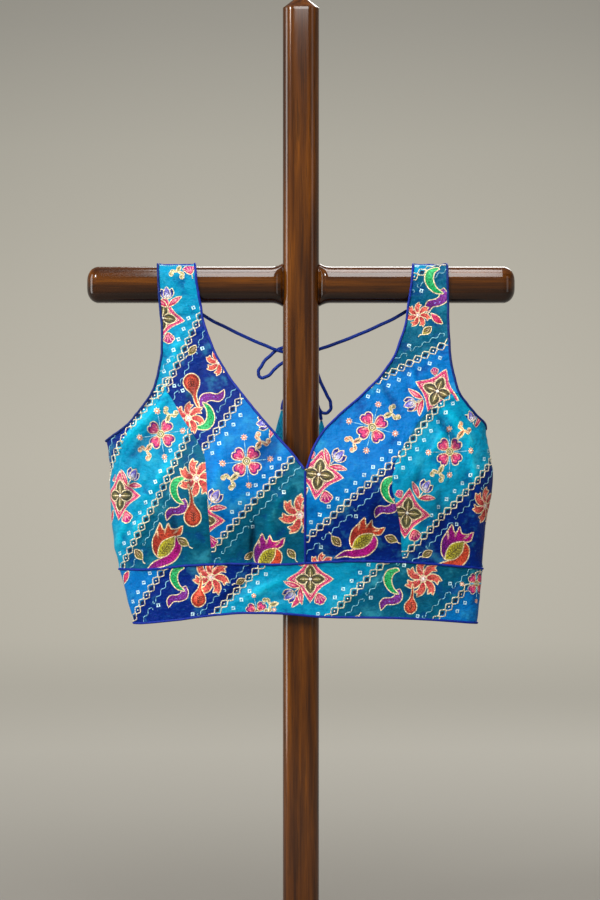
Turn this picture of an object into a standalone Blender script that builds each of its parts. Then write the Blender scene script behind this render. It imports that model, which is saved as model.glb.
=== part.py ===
"""A choli blouse hung on a wooden cross stand, in metres with +Z up.

The origin is the middle of the stand's underside, and -Y is the blouse's front. The cloth is a thin wall
laid on one skin: a ring that is cut by the side seams into a front and a back, which rise into straps that
pass over the crossbar. A place on the skin is a pair: its turn, from 0 at the left side seam to pi at the
right one, and its rise, the height measured along the cloth, so that it goes on over the bar.
"""

import math

import bmesh
import bpy
import numpy as np
from mathutils import Vector

MM = 0.001

# The stand
STOCK = 39 * MM  # across the flats of the post and of the crossbar
STOCK_ROUND = 12 * MM  # radius of their long edges
POST_TOP = 1030 * MM
TIP_HEIGHT = 14 * MM  # of the four-sided taper that ends the post
BAR_HEIGHT = 718 * MM  # middle line of the crossbar
BAR_LENGTH = 461 * MM
BAR_FLARE = 3 * MM  # how far the arms swell, above and below, where they meet the post
BAR_WAIST = 6 * MM  # how far they draw in there, in front and behind
BASE_RADIUS = 150 * MM
BASE_THICK = 25 * MM
BASE_ROUND = 8 * MM

# The cloth and its trims
CLOTH = 2 * MM  # thickness of the wall
GAP = 0.3 * MM  # left between pieces that are sewn or rest together
BEAD = 1.6 * MM  # radius of the piping
BEAD_LIFT = 0.6 * MM  # how far the piping's middle stands out from the middle of the cloth
EDGE_INSET = 2 * BEAD + GAP  # from the outer edge of the piping to the cloth it edges
CORD = 1.85 * MM  # radius of the dori
PLACKET_WIDTH = 26 * MM
PLACKET_THICK = 1.2 * MM
STRAP_DEPTH = STOCK / 2 + GAP + CLOTH / 2  # from the bar's middle plane to the strap's middle
WRAP_RADIUS = STOCK_ROUND + GAP + CLOTH / 2
WRAP_START = BAR_HEIGHT + STOCK / 2 - STOCK_ROUND
SHOULDER = WRAP_START + WRAP_RADIUS * math.pi / 2 + STOCK / 2 - STOCK_ROUND - GAP / 2  # rise of the seam

# Places where lines meet, in millimetres
V_HEIGHT = 520.6  # point of the front neckline
CENTRE_FRONT = 4.5
BACK_NECK = 486  # lowest point of the back neckline
UNDERARM = {"left": 551.5, "right": 564}
SLIP_END = {"left": 500, "right": 545}  # where the armhole slip runs out on the side seam
APEX = {"left": 604, "right": 601}  # where the side panel ends in a point under the strap
NECK_CLIMB = (0, 0.8, 3, 7, 13)  # rows close together where the back neckline starts level
ARM_CLIMB = (0, 0.6, 2.2, 5, 10)  # and where the back armhole does
SLIP_COLUMNS = 2
CENTRE_COLUMNS = 6
SIDE_COLUMNS = 7
BACK_COLUMNS = 8
BAND_COLUMNS = 32
ROW = 12.5  # longest step between rows

FRONT, BACK = "front", "back"
SIDES = ("left", "right")
HALF_TURN = math.pi
SEAM_TURN = 0.03  # places this close to 0 or pi lie on a side seam

# Rings of the skin in millimetres: the reach to each side seam, the depth of the front and of the back at
# the middle, and how far the ring is flattened from an ellipse (0) towards the bar's straight face (1).
RINGS = {
    "height": (350, 384, 414, 442, 470, 500, 530, 552, 600, 650, 695, 740),
    "left": (-179, -188, -195, -201, -204, -205, -206, -209, -209, -209, -209, -209),
    "right": (189, 193, 195, 197, 200.5, 206, 204.5, 200, 199.5, 199.5, 199.5, 199.5),
    FRONT: (38, 39, 41, 50, 58, 63, 61, 55, 40, 27, 20.8, 20.8),
    BACK: (34, 35, 36, 38, 40, 41, 41, 40, 34, 26, 20.8, 20.8),
    "flat": (0, 0, 0, 0, 0, 0, 0, 0, 0.15, 0.6, 1, 1),
}

# Cups and the largest folds in millimetres: a crest (or, below 0, a trough) that leans clockwise.
SWELLS = (
    # face, x, height, lean in degrees, half length, half width, depth
    (FRONT, -101, 498, 0, 46, 48, 12.0),
    (FRONT, 103, 497, 0, 46, 48, 12.0),
    (FRONT, -52, 438, 3, 26, 9, -2.6),
    (FRONT, -150, 556, 42, 30, 10, 2.2),
    (FRONT, -168, 470, 24, 34, 13, -2.4),
    (FRONT, 168, 545, -40, 26, 10, 2.0),
    (FRONT, 158, 462, -28, 32, 13, -2.2),
    (FRONT, 46, 452, -18, 30, 11, -2.0),
    (BACK, -112, 470, 18, 46, 19, -3.2),
    (BACK, -66, 452, -6, 40, 17, 2.6),
    (BACK, 70, 458, 8, 42, 18, -2.8),
    (BACK, 126, 482, -22, 46, 19, 2.8),
)

# Edges and seams in millimetres: the height and the x of each point, from the bottom up.
ARMHOLE = {
    "left": ((551.5, -209), (557.1, -201.9), (566, -189.4), (579.7, -177), (592, -167.6), (603, -160.7),
             (615.6, -156.4), (629, -153.5), (657, -150.8), (698, -153.4), (740, -156.2)),
    "right": ((564, 199.5), (569, 197.3), (575.3, 192.6), (582, 186.4), (591, 179), (598, 173.4),
              (607.5, 169), (615.6, 166.9), (629, 163.7), (657, 160.9), (698, 159.7), (740, 158.8)),
}  # fmt: skip
NECK = {
    "left": ((520.6, 4.5), (549.2, -18.4), (574.6, -40.6), (604, -64.2), (629, -81.6), (656.6, -95.4),
             (697.7, -106.5), (740, -113.4)),
    "right": ((520.6, 4.5), (549.2, 15.5), (574.6, 36), (604, 68.6), (629, 90.7), (656.6, 104.5),
              (697.7, 113.9), (740, 120.2)),
}  # fmt: skip
BACK_NECKLINE = {
    "left": ((486, 0), (490, -18), (507, -37), (540, -56), (575, -72), (610, -86), (650, -100),
             (690, -110), (740, -113.4)),
    "right": ((486, 0), (490, 18), (507, 37), (540, 56), (575, 73), (610, 91), (650, 107),
              (690, 116.5), (740, 120.2)),
}  # fmt: skip
PRINCESS = {
    "left": ((410, -95), (450, -97), (480, -99), (505, -100), (520, -101), (540, -105.5), (557, -115.5),
             (577, -128.5), (591, -136), (604, -145)),
    "right": ((410, 109), (440, 107), (463, 105), (486, 100), (505, 97), (519, 99), (538, 106),
              (557, 118), (577, 132), (591, 148), (601, 161.8)),
}  # fmt: skip
SLIP_SEAM = {
    "left": ((500, -205), (515, -199), (529.5, -195), (543, -191.5), (553.6, -186.6), (561, -181),
             (569, -171.5), (578, -163.3), (587, -156.4), (595.6, -150.9), (604, -145)),
    "right": ((545, 201.4), (548.6, 199), (555, 196), (561, 192), (566, 186.4), (572, 180),
              (579, 175), (586.4, 170.3), (594, 166), (601, 161.8)),
}  # fmt: skip
BACK_SCOOP = 5  # how much deeper the back armhole is cut than the front one
FRONT_WAIST = ((-196, 412), (-164, 412), (-126, 416), (-20, 418), (90, 421), (150, 417), (196, 412))
HEM = ((-185, 352), (-141, 356.5), (-96, 362), (-50, 364), (20, 360), (122, 357.5), (195, 352))
BACK_WAIST = 412
HEM_LEVEL = 352  # lowest point of the hem, on the side seams

# The dori in millimetres: each cord runs from its strap to the knot, round its bow and down its tail.
KNOT = (0, 28.5, 645)
KNOT_RADII = (8, 5.5, 6.5)
DORI_ROUTES = {
    "dori_span_left": ((-107.9, 22.8, 687.9), (-103, 22.4, 684.6), (-82, 22.6, 673.6), (-60, 23.6, 662.8),
                       (-38, 25.4, 653.4), (-22, 27.2, 647.4), (-9.4, 28.5, 644.6)),
    "dori_span_right": ((115.2, 22.8, 691.2), (109, 22.4, 687.4), (86, 22.6, 675.8), (62, 23.6, 665.2),
                        (40, 25.4, 656.6), (22, 27.2, 650.4), (9.4, 28.5, 647)),
    "dori_bow_left": ((-5.6, 29.5, 651.8), (-11, 30, 653.6), (-19.4, 30.4, 651.4), (-33.5, 31, 642.4),
                      (-43, 31.4, 631), (-46.2, 31.6, 623.8), (-43.8, 31.4, 619), (-38.4, 31, 619.6),
                      (-29, 30.4, 627.6), (-19.4, 29.8, 635), (-8.4, 29, 640)),
    "dori_bow_right": ((8.6, 30, 640.4), (14, 31.4, 632), (21.6, 33.2, 613.6), (28.6, 35, 599),
                       (32.4, 35.8, 589.4), (30.6, 36, 582.2), (25.4, 36, 580.2), (19.6, 36, 585),
                       (12.6, 35.6, 603), (7.2, 34.4, 624), (4.2, 32.6, 638)),
    "dori_tail_left": ((-3.4, 27, 637.6), (-6.4, 26.2, 629), (-11.4, 27, 613), (-16.6, 30.4, 598),
                       (-20.2, 33.2, 587.6), (-20.6, 33.8, 584)),
    "dori_tail_right": ((1.6, 25.6, 638), (5, 25, 628), (11.6, 25.6, 608), (17.4, 27, 591),
                        (20.8, 29.6, 580), (22, 32.4, 573.2)),
}  # fmt: skip
LATKANS = {"latkan_left": (-20.7, 34.1, 583.2), "latkan_right": (22.2, 34.1, 572.4)}
LATKAN_PROFILE = ((0.9, 0), (2.6, -6), (6.6, -21), (10.8, -36), (12.8, -43), (11.6, -46), (6, -47.4))
LATKAN_SIDES = 12

# Finishes: base colour, roughness and metallic value
FINISHES = {
    "walnut_lacquer": ((0.085, 0.030, 0.010), 0.22, 0.0),
    "silk_cyan": ((0.010, 0.420, 0.620), 0.42, 0.0),
    "silk_azure": ((0.005, 0.240, 0.640), 0.42, 0.0),
    "silk_teal": ((0.005, 0.140, 0.220), 0.42, 0.0),
    "silk_navy": ((0.004, 0.030, 0.280), 0.42, 0.0),
    "royal_piping": ((0.008, 0.040, 0.420), 0.38, 0.0),
    "navy_cord": ((0.006, 0.014, 0.120), 0.50, 0.0),
}


def smooth_curve(places, values):
    """A function that passes smoothly through the values and holds the end values beyond them."""
    places, values = np.array(places, float), np.array(values, float)
    slopes = np.gradient(values, places)

    def at(place):
        place = min(max(place, places[0]), places[-1])
        i = int(np.clip(np.searchsorted(places, place) - 1, 0, len(places) - 2))
        step = places[i + 1] - places[i]
        t = (place - places[i]) / step
        start, end = values[i] + slopes[i] * step * t, values[i + 1] - slopes[i + 1] * step * (1 - t)
        share = t * t * (3 - 2 * t)
        return float(start * (1 - share) + end * share)

    return at


RING = {name: smooth_curve(RINGS["height"], row) for name, row in RINGS.items() if name != "height"}


def reach(rise):
    """The middle and the half width of the ring at a rise."""
    level = min(rise, WRAP_START) / MM
    left, right = RING["left"](level) * MM, RING["right"](level) * MM
    return (left + right) / 2, (right - left) / 2


def turn_at(x, rise):
    middle, half = reach(rise)
    return math.acos(min(max((middle - x) / half, -1), 1))


def swell(face, x, level):
    """How far cups and folds push the skin out at a place."""
    total = 0
    for on_face, at_x, height, lean, length, width, depth in SWELLS:
        if on_face == face:
            angle = math.radians(lean)
            east, north = x / MM - at_x, level / MM - height
            along = east * math.sin(angle) + north * math.cos(angle)
            across = east * math.cos(angle) - north * math.sin(angle)
            total += depth * MM * math.exp(-((along / length) ** 2) - (across / width) ** 2)
    return total


def skin(face, turn, rise):
    """The middle of the cloth at a place."""
    level = min(rise, WRAP_START)
    middle, half = reach(rise)
    x = middle - half * math.cos(turn)
    flat = min(max(RING["flat"](level / MM), 0), 1)
    depth = max(RING[face](level / MM) * MM, STRAP_DEPTH)
    away = depth * ((1 - flat) * math.sin(turn) + flat)
    away += swell(face, x, level) * math.sin(turn) ** 2 * (1 - flat)
    bend = min(max(rise - WRAP_START, 0) / WRAP_RADIUS, math.pi / 2)
    level += WRAP_RADIUS * math.sin(bend)
    away -= WRAP_RADIUS * (1 - math.cos(bend)) + max(rise - WRAP_START - WRAP_RADIUS * math.pi / 2, 0)
    return Vector((x, -away if face == FRONT else away, level))


def slopes(face, turn, rise):
    """How the skin runs for each radian of turn and for each metre of rise."""
    small = 1e-4
    across = (skin(face, turn + small, rise) - skin(face, turn - small, rise)) / (2 * small)
    up = (skin(face, turn, rise + small) - skin(face, turn, rise - small)) / (2 * small)
    return across, up


def lifted(face, place, out):
    """A place on the skin, moved out from it."""
    across, up = slopes(face, *place)
    outward = across.cross(up).normalized() * (1 if face == FRONT else -1)
    return skin(face, *place) + outward * out


def edge(points, level_start=False):
    """An edge through (height, x) points, as a function of its share from 0 to 1. An edge that starts
    level, as under the arm, gains height as the square of the share."""
    power = 2 if level_start else 1
    low, high = points[0][0] * MM, SHOULDER
    rises = [min(height * MM, SHOULDER) for height, _ in points]
    if points[-1][0] * MM >= WRAP_START:
        rises[-1] = SHOULDER
    else:
        high = rises[-1]
    shares = [((rise - low) / (high - low)) ** (1 / power) for rise in rises]
    turn = smooth_curve(shares, [turn_at(x * MM, rise) for (_, x), rise in zip(points, rises)])

    def at(share):
        return turn(share), low + (high - low) * share**power

    at.share_of = lambda rise: (max(rise - low, 0) / (high - low)) ** (1 / power)
    return at


def beside(face, line, share, distance):
    """The place at a distance to the right of an edge, seen from outside the front and going up."""
    turn, rise = line(share)
    small = 0.002
    ahead, behind = line(min(share + small, 1)), line(max(share - small, 0))
    speed = slopes(face, turn, rise)[0].length
    run = Vector((speed * (ahead[0] - behind[0]), ahead[1] - behind[1])).normalized()
    return turn + distance * run[1] / speed, rise - distance * run[0]


def edge_set(tables, **how):
    return {side: edge(tables[side], **how) for side in SIDES}


def scooped(points):
    """A back armhole: the front one, cut deeper between the side seam and the shoulder."""
    low, high = points[0][0], points[-1][0]
    inward = -1 if points[0][1] > 0 else 1
    return [(h, x + inward * BACK_SCOOP * math.sin(math.pi * (h - low) / (high - low))) for h, x in points]


ARM_EDGE = {
    FRONT: edge_set(ARMHOLE, level_start=True),
    BACK: edge_set({side: scooped(ARMHOLE[side]) for side in SIDES}, level_start=True),
}
NECK_EDGE = {FRONT: edge_set(NECK), BACK: edge_set(BACK_NECKLINE, level_start=True)}
PRINCESS_EDGE = edge_set(PRINCESS)
SLIP_EDGE = edge_set(SLIP_SEAM)
FRONT_WAIST_LINE = smooth_curve(*zip(*FRONT_WAIST))
HEM_LINE = smooth_curve(*zip(*HEM))


def waist(face, turn):
    """Height of the middle of the piping between the bodice and the band."""
    x = skin(face, turn, BACK_WAIST * MM).x / MM
    return (FRONT_WAIST_LINE(x) if face == FRONT else BACK_WAIST) * MM


def hem(face, turn):
    """Height of the middle of the hem's piping, which is the same in front and behind."""
    return HEM_LINE(skin(face, turn, HEM_LEVEL * MM).x / MM) * MM + BEAD


def sign(side):
    """+1 where inward is to the right, as at the left side."""
    return 1 if side == "left" else -1


def side_place(face, side, rise, distance=GAP / 2):
    """A place near a side seam."""
    step = distance / slopes(face, 0 if side == "left" else HALF_TURN, rise)[0].length
    return (step if side == "left" else HALF_TURN - step), rise


def between(start, end, steps):
    """Places in even steps from one to another, both included."""
    return [tuple(np.array(start) + (np.array(end) - start) * i / steps) for i in range(steps + 1)]


def spaced(marks, step):
    """The marks, with even steps no longer than step between them."""
    values = [marks[0]]
    for start, end in zip(marks, marks[1:]):
        count = max(1, math.ceil((end - start) / step))
        values += [start + (end - start) * (i + 1) / count for i in range(count)]
    return values


def raised(face, place, lift):
    """A place moved straight up, or along the side seam if it lies on one."""
    turn, rise = place
    if min(turn, HALF_TURN - turn) > SEAM_TURN:
        turn = turn_at(skin(face, turn, rise).x, rise + lift)
    return turn, rise + lift


def settled(face, rows, bottom, rows_moved=4):
    """Rows whose lowest follows a line of its own, given as a function of the turn."""
    lifts = [bottom(turn) - rise for turn, rise in rows[0]]
    for i, row in enumerate(rows[:rows_moved]):
        share = 1 - i / rows_moved
        rows[i] = [raised(face, place, lift * share) for place, lift in zip(row, lifts)]
    return rows


def finish(name):
    """The Principled material of a finish."""
    material = bpy.data.materials.get(name) or bpy.data.materials.new(name)
    colour, roughness, metallic = FINISHES[name]
    material.use_nodes = True
    shader = material.node_tree.nodes["Principled BSDF"]
    shader.inputs["Base Color"].default_value = (*colour, 1)
    shader.inputs["Roughness"].default_value = roughness
    shader.inputs["Metallic"].default_value = metallic
    return material


def placed(name, data, look, root):
    """An object with its finish, hung on the root."""
    data.materials.append(finish(look))
    node = bpy.data.objects.new(name, data)
    bpy.context.scene.collection.objects.link(node)
    node.parent = root
    return node


def mesh_of(name, shape, smooth=40):
    bmesh.ops.recalc_face_normals(shape, faces=shape.faces)
    mesh = bpy.data.meshes.new(name)
    shape.to_mesh(mesh)
    shape.free()
    mesh.shade_smooth()
    mesh.set_sharp_from_angle(angle=math.radians(smooth))
    return mesh


def cloth_wall(name, face, grids, look, root, lift=0, thick=CLOTH):
    """A wall of cloth over grids of places, which join where their places are the same."""
    shape = bmesh.new()
    layers = {lift + thick / 2: {}, lift - thick / 2: {}}

    def corner(out, place):
        key = tuple(round(value, 7) for value in place)
        if key not in layers[out]:
            layers[out][key] = shape.verts.new(lifted(face, place, out))
        return layers[out][key]

    outer, inner = layers
    sheet = []
    for rows in grids:
        for low, high in zip(rows, rows[1:]):
            for j in range(len(low) - 1):
                sheet.append((low[j], low[j + 1], high[j + 1], high[j]))
    steps = set()
    for cell in sheet:
        shape.faces.new([corner(outer, place) for place in cell])
        shape.faces.new([corner(inner, place) for place in reversed(cell)])
        keys = [tuple(round(value, 7) for value in place) for place in cell]
        steps |= set(zip(keys, keys[1:] + keys[:1]))
    for start, end in sorted(steps):
        if (end, start) not in steps:
            ends = layers[outer][end], layers[outer][start], layers[inner][start], layers[inner][end]
            shape.faces.new(ends)
    return placed(name, mesh_of(name, shape), look, root)


def tube(name, points, radius, look, root, closed=False, sides=1):
    """A round cord or bead along points: a curve with a bevel and filled caps."""
    curve = bpy.data.curves.new(name, "CURVE")
    curve.dimensions = "3D"
    curve.bevel_depth = radius
    curve.bevel_resolution = sides
    curve.use_fill_caps = True
    line = curve.splines.new("POLY")
    line.points.add(len(points) - 1)
    line.use_cyclic_u = closed
    for target, point in zip(line.points, points):
        target.co = (*point, 1)
    return placed(name, curve, look, root)


def loft(rings):
    """A closed body through rings of equally many points."""
    shape = bmesh.new()
    loops = [[shape.verts.new(point) for point in ring] for ring in rings]
    for low, high in zip(loops, loops[1:]):
        for i in range(len(low)):
            shape.faces.new((low[i - 1], low[i], high[i], high[i - 1]))
    shape.faces.new(reversed(loops[0]))
    shape.faces.new(loops[-1])
    return shape


def rounded(half_a, half_b, corner, per_corner=4):
    """A rectangle with round corners, as points around the middle."""
    points = []
    for quarter in range(4):
        sign_a, sign_b = (1, -1, -1, 1)[quarter], (1, 1, -1, -1)[quarter]
        for i in range(per_corner):
            angle = math.pi / 2 * (quarter + i / (per_corner - 1))
            a = sign_a * (half_a - corner) + corner * math.cos(angle)
            points.append((a, sign_b * (half_b - corner) + corner * math.sin(angle)))
    return points


def circle(radius, count):
    turns = [2 * math.pi * i / count for i in range(count)]
    return [(radius * math.cos(turn), radius * math.sin(turn)) for turn in turns]


def make_base(root):
    rim = [(BASE_RADIUS, 0), (BASE_RADIUS, BASE_THICK - BASE_ROUND)]
    for i in (1, 2, 3):
        angle = math.pi / 2 * i / 3
        rim.append((BASE_RADIUS - BASE_ROUND * (1 - math.cos(angle)),
                    BASE_THICK - BASE_ROUND * (1 - math.sin(angle))))  # fmt: skip
    rings = [[(x, y, height) for x, y in circle(radius, 40)] for radius, height in rim]
    placed("stand_base", mesh_of("stand_base", loft(rings)), "walnut_lacquer", root)


def post_shape(grow=0):
    """The post, grown all round where it is a cutter for the arms."""
    half = STOCK / 2 + grow
    stations = [
        # height, half width
        (BASE_THICK + GAP, half),
        (POST_TOP - TIP_HEIGHT, half),
        (POST_TOP - TIP_HEIGHT * 0.28, half * 0.40),
        (POST_TOP - TIP_HEIGHT * 0.08, half * 0.22),
        (POST_TOP, half * 0.10),
    ]
    share = (STOCK_ROUND + grow) / half
    return loft([[(x, y, z) for x, y in rounded(size, size, size * share)] for z, size in stations])


def make_post(root):
    placed("stand_post", mesh_of("stand_post", post_shape(), 30), "walnut_lacquer", root)
    cutter = placed("post_cutter", mesh_of("post_cutter", post_shape(GAP)), "walnut_lacquer", root)
    cutter.hide_render = True
    cutter.display_type = "WIRE"
    return cutter


def make_arm(side, cutter, root):
    """One arm of the crossbar, scribed to the post's round edges, taller and slimmer towards it."""
    half = STOCK / 2
    stations = [
        # distance from the post's middle, half depth, half height
        (4 * MM, half - BAR_WAIST, half + BAR_FLARE),
        (half, half - BAR_WAIST, half + BAR_FLARE),
        (half + BAR_FLARE * 0.5, half - BAR_WAIST * 0.96, half + BAR_FLARE * 0.3),
        (half + BAR_FLARE * 1.6, half - BAR_WAIST * 0.7, half),
        (half + BAR_FLARE * 4, half - BAR_WAIST * 0.2, half),
        (half + BAR_FLARE * 6, half, half),
        (BAR_LENGTH / 2 - 11 * MM, half, half),
        (BAR_LENGTH / 2 - 5.5 * MM, half - 2.5 * MM, half - 2.5 * MM),
        (BAR_LENGTH / 2 - 1.6 * MM, half - 7.5 * MM, half - 7.5 * MM),
        (BAR_LENGTH / 2, half - 12.5 * MM, half - 12.5 * MM),
    ]
    out = -1 if side == "left" else 1
    rings = []
    for distance, deep, high in stations:
        corner = STOCK_ROUND * deep / half
        rings.append([(out * distance, y, BAR_HEIGHT + z) for y, z in rounded(deep, high, corner)])
    arm = placed(f"stand_arm_{side}", mesh_of(f"stand_arm_{side}", loft(rings), 30), "walnut_lacquer", root)
    cut = arm.modifiers.new("scribe", "BOOLEAN")
    cut.operation = "DIFFERENCE"
    cut.object = cutter


def edge_place(line, face, share, inward, inset):
    """A place inside an edge; on the bar it keeps its own rise, so that shoulder seams stay straight."""
    turn, rise = beside(face, line, share, inward * inset)
    return turn, line(share)[1] if rise > WRAP_START else rise


def arm_places(face, side, inset=EDGE_INSET):
    """Places inside the armhole, from the side seam to the shoulder."""
    line = ARM_EDGE[face][side]
    return [edge_place(line, face, share, sign(side), inset) for share in arm_shares(face, side)]


def neck_places(face, side, inset=EDGE_INSET):
    """Places inside the neckline, from the centre to the shoulder."""
    line = NECK_EDGE[face][side]
    return [edge_place(line, face, share, -sign(side), inset) for share in neck_shares(face, side)]


def back_rises(side):
    """Rises of the back's rows, which are level, from the band up to the bar."""
    neck, arm = BACK_NECK * MM - EDGE_INSET, UNDERARM[side] * MM - EDGE_INSET
    marks = [neck + step * MM for step in NECK_CLIMB] + [arm + step * MM for step in ARM_CLIMB]
    return spaced([(BACK_WAIST + 2) * MM, *marks, WRAP_START], ROW * MM)[:-1]


def back_shares(line, inward, foot, side):
    """Shares of a back edge where the level rows meet it, and where the strap's rows do on the bar."""
    climb = []
    for rise in back_rises(side):
        if rise >= foot:
            low, high = 0, 1
            for _ in range(30):
                middle = (low + high) / 2
                below = edge_place(line, BACK, middle, inward, EDGE_INSET)[1] < rise
                low, high = (middle, high) if below else (low, middle)
            climb.append(low)
    return climb + [line.share_of(rise) for rise in strap_rises(WRAP_START)]


def arm_shares(face, side):
    """Shares of the armhole where rows of cloth end."""
    line = ARM_EDGE[face][side]
    if face == BACK:
        return back_shares(line, sign(side), UNDERARM[side] * MM - EDGE_INSET, side)
    rises = [rise for rise in front_rises(side) if rise >= SLIP_END[side] * MM]
    spots = [skin(FRONT, *seam_place(SLIP_EDGE, side, rise)) for rise in rises]
    steps = [(end - start).length for start, end in zip(spots, spots[1:])]
    travelled = np.concatenate([[0], np.cumsum(steps)]) / sum(steps)
    climb = [line.share_of(rise) for rise in strap_rises(rises[-1])[1:]]
    return list(travelled * line.share_of(rises[-1])) + climb


def neck_shares(face, side):
    """Shares of the neckline where rows of cloth end."""
    line = NECK_EDGE[face][side]
    if face == BACK:
        return back_shares(line, -sign(side), BACK_NECK * MM - EDGE_INSET, side)
    rises = front_rises(side)
    bodice = [rise for rise in rises if rise > V_HEIGHT * MM]
    return [line.share_of(rise) for rise in [V_HEIGHT * MM] + bodice + strap_rises(rises[-1])[1:]]


def seam_place(lines, side, rise):
    line = lines[side]
    return line(line.share_of(rise))


def strap_rises(start):
    """Rises of a strap's rows, closer together where it bends over the bar."""
    climb = spaced([start, WRAP_START], ROW * MM) if start < WRAP_START else [start]
    bend = [WRAP_START, WRAP_START + WRAP_RADIUS * math.pi / 2, SHOULDER]
    return climb + spaced(bend, WRAP_RADIUS * math.pi / 6)[1:]


def front_rises(side):
    """Rises of the rows that the centre, the side panel and the slip share, waist to apex."""
    end = SLIP_END[side]
    marks = sorted([BACK_WAIST + 4, end, end + 3, end + 9, V_HEIGHT - 2.6, APEX[side]])
    return [rise * MM for rise in spaced(marks, ROW)]


def left_to_right(side, near, far, columns):
    """A row of places from the side inwards, turned round on the right side."""
    row = between(near, far, columns)
    return row if side == "left" else row[::-1]


def front_centre(side, root, look):
    """Centre panel, strap and armhole slip, which are cut in one."""
    rises = front_rises(side)
    centre_line = CENTRE_FRONT * MM - sign(side) * (BEAD + GAP)
    apex = seam_place(PRINCESS_EDGE, side, rises[-1])
    arm, neck = arm_places(FRONT, side), neck_places(FRONT, side)

    below_v = [rise for rise in rises if rise <= V_HEIGHT * MM]
    inner = [(turn_at(centre_line, rise), rise) for rise in below_v[:-1]] + neck
    panel = []
    for rise, edge_of_panel in zip(rises, inner):
        seam = seam_place(PRINCESS_EDGE, side, rise)
        panel.append(left_to_right(side, seam, edge_of_panel, CENTRE_COLUMNS))
    panel = settled(FRONT, panel, lambda turn: waist(FRONT, turn) + BEAD + GAP)

    up_strap = len(strap_rises(rises[-1]))
    strap_arm, strap_neck = arm[-up_strap:], neck[-up_strap:]
    split = (apex[0] - strap_arm[0][0]) / (strap_neck[0][0] - strap_arm[0][0])
    strap = []
    for outer, inner in zip(strap_arm, strap_neck):
        middle = tuple(np.array(outer) + (np.array(inner) - outer) * split)
        if outer == strap_arm[0]:
            middle = apex
        row = between(outer, middle, SLIP_COLUMNS) + between(middle, inner, CENTRE_COLUMNS)[1:]
        strap.append(row if side == "left" else row[::-1])

    slip = []
    slip_rises = [rise for rise in rises if rise >= SLIP_END[side] * MM]
    for rise, outer in zip(slip_rises, arm):
        inner = seam_place(SLIP_EDGE, side, rise) if rise < rises[-1] else apex
        if rise == slip_rises[0]:
            outer, inner = (side_place(FRONT, side, place[1]) for place in (outer, inner))
        slip.append(left_to_right(side, outer, inner, SLIP_COLUMNS))
    cloth_wall(f"front_centre_{side}", FRONT, [panel, strap, slip], look, root)


def front_side(side, root, look):
    """The side panel, whose two shaped seams meet in a point under the strap."""
    rows = []
    rises = front_rises(side)
    for rise in [*rises[:-1], rises[-1] - 4 * MM]:
        outer = side_place(FRONT, side, rise)
        if rise > SLIP_END[side] * MM:
            line = SLIP_EDGE[side]
            outer = beside(FRONT, line, line.share_of(rise), sign(side) * GAP)
        line = PRINCESS_EDGE[side]
        inner = beside(FRONT, line, line.share_of(rise), -sign(side) * GAP)
        rows.append(left_to_right(side, outer, inner, SIDE_COLUMNS))
    rows = settled(FRONT, rows, lambda turn: waist(FRONT, turn) + BEAD + GAP)
    cloth_wall(f"front_side_{side}", FRONT, [rows], look, root)


def centre_back(side, rise):
    return turn_at(-sign(side) * GAP / 2, rise), rise


def back_panel(side, root, look):
    """Half of the back with its strap, from the centre-back opening to the side seam."""
    rises = back_rises(side)
    arm, neck = arm_places(BACK, side), neck_places(BACK, side)
    below_arm, below_neck = (len(rises) - len(edge) + len(strap_rises(WRAP_START)) for edge in (arm, neck))
    outer = [side_place(BACK, side, rise) for rise in rises[: below_arm + 1]] + arm[1:]
    inner = [centre_back(side, rise) for rise in rises[: below_neck + 1]] + neck[1:]
    rows = [left_to_right(side, *ends, BACK_COLUMNS) for ends in zip(outer, inner)]
    rows = settled(BACK, rows, lambda turn: waist(BACK, turn) + BEAD + GAP)
    cloth_wall(f"back_{side}", BACK, [rows], look, root)


def band(name, face, start, end, columns, root, look):
    """A stretch of the waistband between two turns."""
    rows = []
    for share in (0, 1 / 3, 2 / 3, 1):
        row = []
        for turn, _ in between((start, 0), (end, 0), columns):
            low, high = hem(face, turn) + BEAD + 1.5 * GAP, waist(face, turn) - BEAD - GAP
            row.append((turn, low + (high - low) * share))
        rows.append(row)
    cloth_wall(name, face, [rows], look, root)


def make_bands(root):
    near, far = (side_place(FRONT, side, BACK_WAIST * MM)[0] for side in SIDES)
    band("band_front", FRONT, near, far, BAND_COLUMNS, root, "silk_azure")
    near, far = (side_place(BACK, side, BACK_WAIST * MM)[0] for side in SIDES)
    middle = [centre_back(side, BACK_WAIST * MM)[0] for side in SIDES]
    band("band_back_left", BACK, near, middle[0], BAND_COLUMNS // 2, root, "silk_azure")
    band("band_back_right", BACK, middle[1], far, BAND_COLUMNS // 2, root, "silk_azure")


def make_placket(root):
    """The strip behind the centre-back opening that carries its hooks."""
    low, high = hem(BACK, HALF_TURN / 2) + BEAD, BACK_NECK * MM - 2 * BEAD
    edges = [turn_at(x, BACK_WAIST * MM) for x in (-PLACKET_WIDTH / 2, PLACKET_WIDTH / 2)]
    rows = []
    for rise in spaced([low, high], ROW * MM):
        rows.append(between((edges[0], rise), (edges[1], rise), 3))
    inside = -(CLOTH / 2 + 2 * GAP + PLACKET_THICK / 2)
    cloth_wall("back_placket", BACK, [rows], "silk_navy", root, lift=inside, thick=PLACKET_THICK)


def beads(face, places):
    """Middle points of a bead whose edges lie at these places."""
    return [lifted(face, place, BEAD_LIFT) for place in places]


def neck_piping(side, root):
    """From the point of the V over the shoulder to the centre back."""
    front, back = (neck_places(face, side, BEAD) for face in (FRONT, BACK))
    back[0] = turn_at(-sign(side) * GAP, back[0][1]), back[0][1]
    points = beads(FRONT, front[:-1]) + beads(BACK, back)[::-1]
    tube(f"piping_neck_{side}", points, BEAD, "royal_piping", root)


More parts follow.
